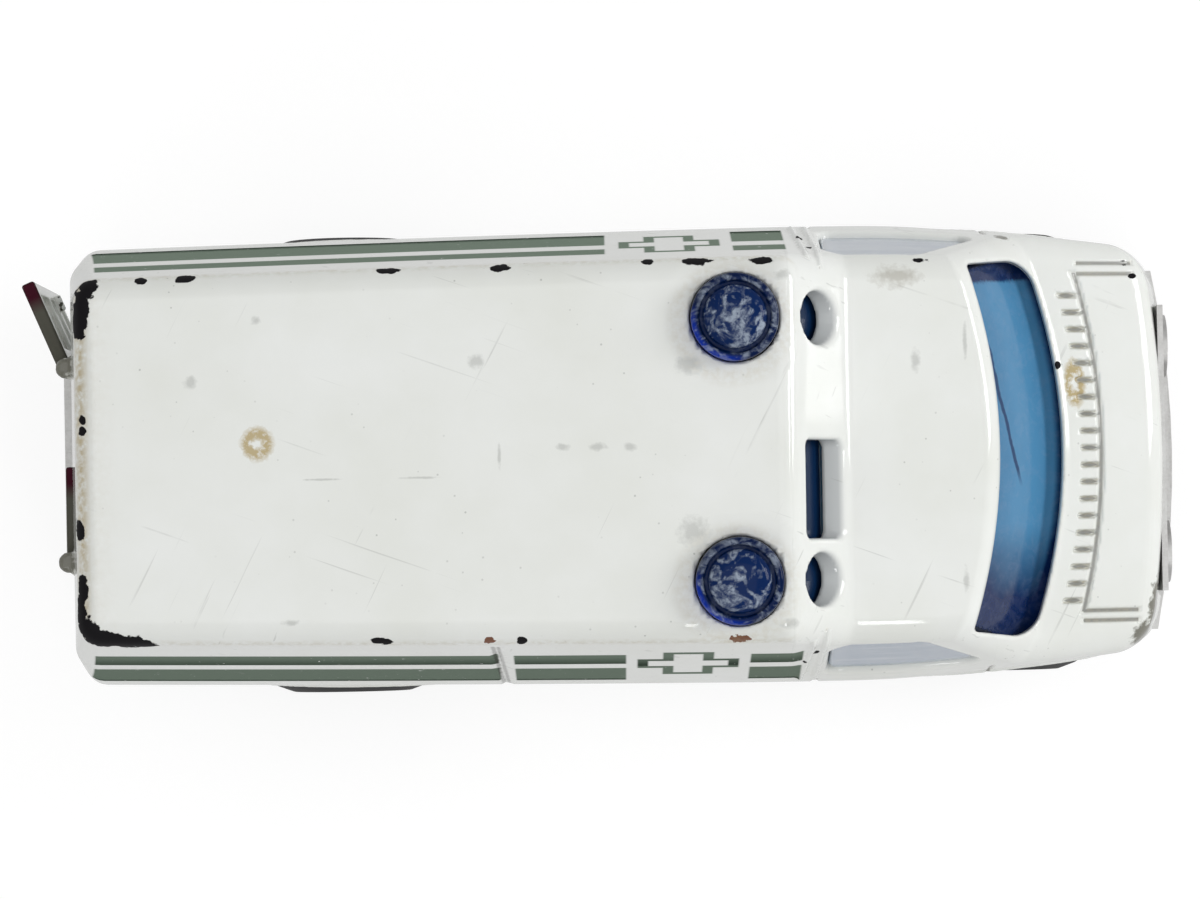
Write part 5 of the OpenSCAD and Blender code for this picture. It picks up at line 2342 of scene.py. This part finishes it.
class Beacons:
    """The two domed lights on the raised roof."""

    def __init__(
        self, placing: Placing, detail: ShellDetail, sizes: BeaconSizes = BeaconSizes()
    ) -> None:
        """Keeps the sizes and where the van stands.

        Args:
            placing: Where the van stands in the frame.
            detail: Sizes of the shell's openings and details.
            sizes: Sizes of the pieces.
        """
        self.placing = placing
        self.detail = detail
        self.sizes = sizes

    def outline(self) -> Array:
        """Half section: stem, rounded rim, groove and low dome.

        Returns:
            Rows of radius and height.
        """
        sizes = self.sizes
        rim_z = sizes.roof_z + sizes.height * sizes.rim_share
        groove_z = rim_z - sizes.groove_deep
        dome_z = sizes.roof_z + sizes.height
        inner = sizes.radius * sizes.groove_in
        lip = sizes.radius * sizes.rim_in
        stem = rounded_outline(
            [
                [0.0, sizes.flange_low],
                [sizes.flange_r, sizes.flange_low],
                [sizes.radius, rim_z],
                [lip, rim_z],
                [lip - sizes.lip_lean, groove_z],
                [inner, groove_z],
                [inner - sizes.dome_lean, rim_z - sizes.dome_drop],
            ],
            sizes.corner_radii,
            steps=sizes.corner_steps,
        )
        a = np.linspace(sizes.dome_start, math.pi / 2, sizes.dome_rings)
        base_z = rim_z - sizes.dome_drop
        wide = inner * np.cos(a) ** sizes.dome_power
        dome = np.stack([wide, base_z + (dome_z - base_z) * np.sin(a)], axis=1)
        dome[-1, 0] = 0.0
        return np.concatenate([stem, dome])

    def build(self, material: bpy.types.Material) -> None:
        """Makes both beacons.

        Args:
            material: Finish of the pieces.
        """
        sizes = self.sizes
        outline = self.outline()
        for side, sign in SIDES:
            surface = revolve(outline, sizes.turns)
            x, y, z = surface.points.T
            radius = np.hypot(x, y)
            surface.attributes["deep"] = rise(radius, sizes.deep_from, sizes.deep_run)
            on_top = rise(z - sizes.roof_z, sizes.scuff_from, sizes.scuff_run)
            on_disc = radius < sizes.radius * sizes.disc_share
            surface.attributes["scuff"] = on_top * np.where(on_disc, 1.0, sizes.rim_scuff)
            # painted glint in the base colour, on the rim that faces the lower left
            facing = -(x + y) / (math.sqrt(2.0) * np.maximum(radius, LEAST_RADIUS))
            outward = rise(radius - sizes.radius, -sizes.glint_in, sizes.glint_soft)
            surface.attributes["glint"] = rise(facing, sizes.glint_from, sizes.glint_run) * outward
            surface.points = surface.points + [self.detail.beacon_x, sign * self.detail.lamp_y, 0.0]
            surface = self.placing.moved(surface)
            Piece.make(f"beacon_dome_{side}", surface, "body", [f"beacon_{side}"], "navy_clear", material)


@dataclass(frozen=True)
class WheelSizes:
    """Sizes of a wheel and its hub insert, with pairs that are an offset and a run."""

    radius: float = 5.25
    width: float = 3.6
    bore_r: float = 0.65
    hub_r: float = 3.1
    hub_recess: float = 0.75
    hub_t: float = 0.9
    tread_deep: float = 0.16
    tread_count: int = 44
    spokes: int = 5
    boss_r: float = 2.0
    boss_in: float = 0.6
    web_in: float = 1.6
    skirt: tuple = (1.3, 1.1)
    shoulder: tuple = ((0.0, 1.15), (0.45, 0.45), (1.35, 0.12))
    bead: tuple = ((0.45, 0.0), (0.25, 0.25), (0.0, 0.5))
    tread_edge: tuple = (0.25, 0.2)
    tread_side: tuple = (0.8, 0.1)
    tread_slant: float = 2.5
    tread_gap: tuple = (0.45, 0.3)
    tread_rib: tuple = (0.12, 0.08)
    hub_boss: tuple = (1.25, 0.25)
    hub_rim: tuple = (0.6, 0.25)
    hub_dish: float = 0.22
    hub_rim_up: float = 0.18
    hollow_at: float = 2.05
    hollow_halves: tuple = (0.95, 1.15)
    hollow_edge: tuple = (0.5, 0.12)
    hollow_deep: float = 0.45
    corner_radii: tuple = (0.0, 0.15, 0.15, 0.2, 0.1, 0.6, 0.5, 0.6, 0.4, 0.12, 0.1, 0.1, 0.0, 0.0)
    outline_points: int = 190
    tyre_turns: int = 264
    hub_turns: int = 240
    hub_rings: int = 70


class Wheels:
    """The four rolling wheels, each a black tyre with a silver hub insert."""

    def __init__(self, sizes: WheelSizes = WheelSizes()) -> None:
        """Keeps the sizes."""
        self.sizes = sizes

    def tyre(self) -> Surface:
        """Tyre about its axis, outer face at height zero, with a moulded tread.

        Returns:
            The mesh about the third axis.
        """
        sizes = self.sizes
        r = sizes.radius
        w = sizes.width
        seat = -sizes.hub_recess - sizes.hub_t
        outline = rounded_outline(
            [
                [sizes.bore_r, sizes.boss_in - w],
                [sizes.boss_r, sizes.boss_in - w],
                [sizes.boss_r, sizes.web_in - w],
                [r - sizes.skirt[0], sizes.web_in - w],
                [r - sizes.skirt[1], -w],
                [r, -w],
                *[[r - inset, -drop] for inset, drop in sizes.shoulder],
                *[[sizes.hub_r + out, -drop] for out, drop in sizes.bead],
                [sizes.hub_r, seat],
                [sizes.bore_r, seat],
            ],
            sizes.corner_radii,
        )
        closed = np.concatenate([outline, outline[:1]])
        length = np.concatenate([[0.0], np.cumsum(np.linalg.norm(np.diff(closed, axis=0), axis=1))])
        at = np.linspace(0.0, length[-1], sizes.outline_points, endpoint=False)
        fine = np.stack([np.interp(at, length, closed[:, axis]) for axis in range(2)], axis=1)
        surface = revolve(fine, sizes.tyre_turns)
        x, y, z = surface.points.T
        radius = np.hypot(x, y)
        aside = np.abs((z + w / 2) / (w / 2))
        on_tread = rise(radius - r, -sizes.tread_edge[0], sizes.tread_edge[1])
        on_tread = on_tread * rise(-aside, -sizes.tread_side[0], sizes.tread_side[1])
        wave = np.sin(np.arctan2(y, x) * sizes.tread_count + aside * sizes.tread_slant)
        cut = rise(wave, *sizes.tread_gap) * rise(aside, *sizes.tread_rib)
        shrink = 1.0 - on_tread * sizes.tread_deep * cut / np.maximum(radius, LEAST_RADIUS)
        surface.points[:, :2] *= shrink[:, None]
        return surface

    def hub(self) -> Surface:
        """Hub insert: a dished disc with a rim, a boss and hollows between its spokes.

        Returns:
            The mesh about the third axis.
        """
        sizes = self.sizes
        top = -sizes.hub_recess
        rings = np.linspace(sizes.bore_r, sizes.hub_r, sizes.hub_rings)
        r = np.concatenate([rings, [sizes.hub_r, sizes.bore_r]])
        turns = sizes.hub_turns
        angle = np.linspace(0.0, math.tau, turns, endpoint=False)[:, None]
        boss = 1.0 - rise(r, *sizes.hub_boss)
        rim = rise(r - sizes.hub_r, -sizes.hub_rim[0], sizes.hub_rim[1])
        dish = -sizes.hub_dish * (1.0 - boss) * (1.0 - rim) + sizes.hub_rim_up * rim
        fold = (angle + math.pi / sizes.spokes) % (math.tau / sizes.spokes) - math.pi / sizes.spokes
        along, across = sizes.hollow_halves
        gap = np.hypot((r * np.cos(fold) - sizes.hollow_at) / along, r * np.sin(fold) / across)
        hollow = sizes.hollow_deep * rise(-gap, -sizes.hollow_edge[0], sizes.hollow_edge[1])
        height = top + dish[None, :] - hollow
        height[:, -2:] = top - sizes.hub_t
        wide = np.broadcast_to(r[None, :], height.shape)
        points = np.stack([wide * np.cos(angle), wide * np.sin(angle), height], axis=2)
        faces = grid_faces(turns, len(r))
        return Surface(points.reshape(-1, 3), faces[:, ::-1])

    def build(self, rubber: bpy.types.Material, silver: bpy.types.Material) -> None:
        """Makes the four wheels at their joints.

        Args:
            rubber: Finish of the tyres.
            silver: Finish of the hubs.
        """
        for end, side in itertools.product(("front", "rear"), ("left", "right")):
            sign = 1.0 if side == "left" else -1.0
            at = joint_place(f"{end}_{side}_roll")
            at[1] += sign * self.sizes.width / 2
            stand = np.array([[1.0, 0.0, 0.0], [0.0, 0.0, sign], [0.0, -sign, 0.0]])
            body = f"{end}_{side}_wheel"
            for part, surface, slot, finish in (
                ("wheel", self.tyre(), "black_plastic", rubber),
                ("hub", self.hub(), "hub_silver", silver),
            ):
                surface.points = surface.points @ stand.T + at
                name = f"{part}_shape_{end}_{side}"
                Piece.make(name, surface, body, [f"{part}_{end}_{side}"], slot, finish)


class CadFinishes:
    """Finishes of the CAD nodes that show as they are."""

    def __init__(self, finishes: dict) -> None:
        """Keeps the slot and the material of each node."""
        self.finishes = finishes

    def dress(self) -> None:
        """Gives each node its material."""
        for node, (slot, material) in self.finishes.items():
            shown = frame["nodes"][node]
            shown.data.materials.clear()
            shown.data.materials.append(material)
            LOG.info("%s: CAD node with finish %s", node, material.name)


@dataclass(frozen=True)
class View:
    """The photo's viewpoint, found by fitting the part's edges to it."""

    place: tuple = (-0.225, -7.068, 330.232)
    turn: tuple = (1.369, 0.091, -1.107)
    focal_px: float = 5224.47
    width_px: int = 1200
    height_px: int = 899
    sensor: float = 36.0
    clip: tuple = (0.01, 20.0)


class Studio:
    """Camera, white table and soft light."""

    FLOOR_HALF = 1.5
    FLOOR_GREY = 0.9
    FLOOR_GLOW = 1.1
    FLOOR_SEEN = 0.75
    FLOOR_MIRRORED = 0.7
    WORLD = 0.5
    WHITE = (1.0, 1.0, 1.0, 1.0)
    LAMPS = (
        ("top", (0.0, 0.0, 0.62), (0.5, 0.5), 0.68),
        ("key", (0.42, 0.1, 0.21), (0.18, 0.18), 0.88),
        ("fill", (-0.2, -0.3, 0.42), (0.16, 0.16), 0.22),
        ("strip", (0.085, -0.25, 0.34), (0.05, 0.1), 0.14, 0.085),
    )

    def __init__(self, view: View = View()) -> None:
        """Keeps the view and the scene."""
        self.view = view
        self.scene = bpy.context.scene

    def camera(self) -> None:
        """Sets the camera where the photo was taken."""
        view = self.view
        data = bpy.data.cameras.new("camera")
        data.sensor_width = view.sensor
        data.sensor_fit = "HORIZONTAL"
        data.lens = view.focal_px / view.width_px * view.sensor
        data.clip_start, data.clip_end = view.clip
        made = bpy.data.objects.new("camera", data)
        made.location = [c * MM for c in view.place]
        made.rotation_euler = [math.radians(a) for a in view.turn]
        self.scene.collection.objects.link(made)
        self.scene.camera = made
        self.scene.render.resolution_x = view.width_px
        self.scene.render.resolution_y = view.height_px

    def floor(self) -> None:
        """Lays a white table that shows the shadow but is plain white to the camera beyond it."""
        signs = np.array([[-1.0, -1.0, 0.0], [1.0, -1.0, 0.0], [1.0, 1.0, 0.0], [-1.0, 1.0, 0.0]])
        mesh = bpy.data.meshes.new("floor")
        mesh.from_pydata(self.FLOOR_HALF * signs, [], [[0, 1, 2, 3]])
        mesh.materials.append(self.table())
        made = bpy.data.objects.new("floor", mesh)
        self.scene.collection.objects.link(made)

    def table(self) -> bpy.types.Material:
        """White table: the camera sees it bright with a light shadow, reflections see it dimmer.

        Returns:
            The material.
        """
        graph = Graph("table")
        rays = graph.node("ShaderNodeLightPath")
        seen = graph.wire(rays, "Is Camera Ray")
        mirrored = graph.wire(rays, "Is Glossy Ray")
        grey = (self.FLOOR_GREY, self.FLOOR_GREY, self.FLOOR_GREY, 1.0)
        matt = graph.node("ShaderNodeBsdfDiffuse", None, {"Color": grey})
        glow, dim = (
            graph.node("ShaderNodeEmission", None, {"Color": self.WHITE, "Strength": strength})
            for strength in (self.FLOOR_GLOW, self.FLOOR_MIRRORED)
        )
        sockets = {0: seen * self.FLOOR_SEEN, 1: graph.wire(matt), 2: graph.wire(glow)}
        bright = graph.node("ShaderNodeMixShader", None, sockets)
        sockets = {0: mirrored, 1: graph.wire(bright), 2: graph.wire(dim)}
        both = graph.node("ShaderNodeMixShader", None, sockets)
        graph.tree.links.new(both.outputs[0], graph.output.inputs["Surface"])
        return graph.material

    def lamp(
        self, name: str, place: Sequence[float], size: Sequence[float], power: float, aim_x: float = 0.0
    ) -> None:
        """Hangs a soft light that shines at the toy.

        Args:
            name: Name of the light.
            place: Where it hangs, in metres.
            size: Its width along X and its height, in metres.
            power: Its power in watts.
            aim_x: Place on the X axis that it faces, in metres.
        """
        data = bpy.data.lights.new(name, "AREA")
        data.shape = "RECTANGLE"
        data.size, data.size_y = size
        data.energy = power
        made = bpy.data.objects.new(name, data)
        made.location = place
        x, y, z = np.array([aim_x, 0.0, 0.0]) - np.array(place, float)
        made.rotation_euler = (math.atan2(math.hypot(x, y), -z), 0.0, math.atan2(-x, y))
        self.scene.collection.objects.link(made)

    def light(self) -> None:
        """Lights the table evenly, a little stronger from the front of the toy."""
        world = bpy.data.worlds.new("room")
        world.use_nodes = True
        sky = world.node_tree.nodes["Background"]
        sky.inputs["Color"].default_value = self.WHITE
        sky.inputs["Strength"].default_value = self.WORLD
        self.scene.world = world
        for row in self.LAMPS:
            self.lamp(*row)

    def build(self) -> None:
        """Sets the whole stage."""
        self.camera()
        self.floor()
        self.light()
        self.scene.view_settings.view_transform = "Standard"


class Ambulance:
    """The whole toy: its finishes and pieces in the order in which they are made."""

    def __init__(self) -> None:
        """Prepares the sizes and fields that the pieces share."""
        self.placing = Placing()
        self.detail = ShellDetail()
        self.shell = ShellField(ShellForm(), self.detail)

    def build(self) -> None:
        """Makes every piece."""
        rear = self.placing.rear_x
        lines = ShutLines(self.shell.form, self.detail)
        paint = Enamel(rear_x=rear, livery=Livery(), lines=lines).material("white_enamel")
        # the doors' bare metal is a mid grey, matched partly to painted shade on the door tops
        door_paint = Enamel(
            rear_x=rear, marked=False, edge_wear=1.1, metal=linear(88, 87, 79)
        ).material("door_enamel")
        scratch = (54.29 + rear, 6.42, 56.31 + rear, -1.8)
        blue = ClearPlastic(
            linear(82, 145, 189),
            linear(6, 38, 90),
            ior=1.34,
            scuffs=0.06,
            transmission=0.18,
            scratch=scratch,
        ).material("blue_plastic")
        pane = ClearPlastic(
            linear(112, 150, 182),
            linear(60, 92, 132),
            # near white: the side panes' scuffs and their painted highlight streaks
            scuff=linear(238, 240, 240),
            scuffs=0.1,
            highlight_streaks=0.22,
            transmission=0.15,
            ior=1.9,
            coat=1.0,
        ).material("pane_plastic")
        navy = ClearPlastic(
            linear(8, 38, 88),
            linear(4, 26, 68),
            scuff=linear(168, 180, 196),
            scuffs=0.95,
            scuff_from=0.61,
            transmission=0.15,
            ior=1.2,
        ).material("navy_plastic")
        lens = ClearPlastic(linear(14, 42, 78), linear(10, 30, 62), transmission=0.1)
        metal = CastMetal().material("cast_metal")
        steel = CastMetal(linear(186, 186, 186), linear(120, 120, 120), 0.3, 1.0).material("steel")
        cream = MouldedPlastic(linear(214, 208, 188), linear(180, 172, 150))
        rubber = MouldedPlastic(linear(20, 20, 22), linear(64, 62, 60), 0.55, 0.25)
        silver = CastMetal(linear(205, 205, 207), linear(150, 150, 152), 0.24, 1.0)
        BodySkin(self.shell, self.placing).build(paint)
        glazing = Glazing(self.shell, self.placing)
        glazing.build(blue)
        glazing.panes(pane)
        RearDoors().build(door_paint)
        Beacons(self.placing, self.detail).build(navy)
        Wheels().build(rubber.material("black_plastic"), silver.material("hub_silver"))
        CadFinishes(
            {
                "base_plate": ("bare_metal", metal),
                "front_lamp_lens": ("navy_clear", lens.material("lens_plastic")),
                "interior_tray": ("cream_plastic", cream.material("cream_plastic")),
                "front_axle": ("steel_wire", steel),
                "rear_axle": ("steel_wire", steel),
                "base_rivets": ("steel_wire", steel),
            }
        ).dress()


def write_size() -> None:
    """Updates the view layer."""
    bpy.context.view_layer.update()


def main() -> None:
    """Builds the toy and its stage."""
    logging.basicConfig(level=logging.INFO, format="%(name)s %(message)s")
    Studio().build()
    Ambulance().build()
    write_size()


if __name__ == "__main__":
    main()
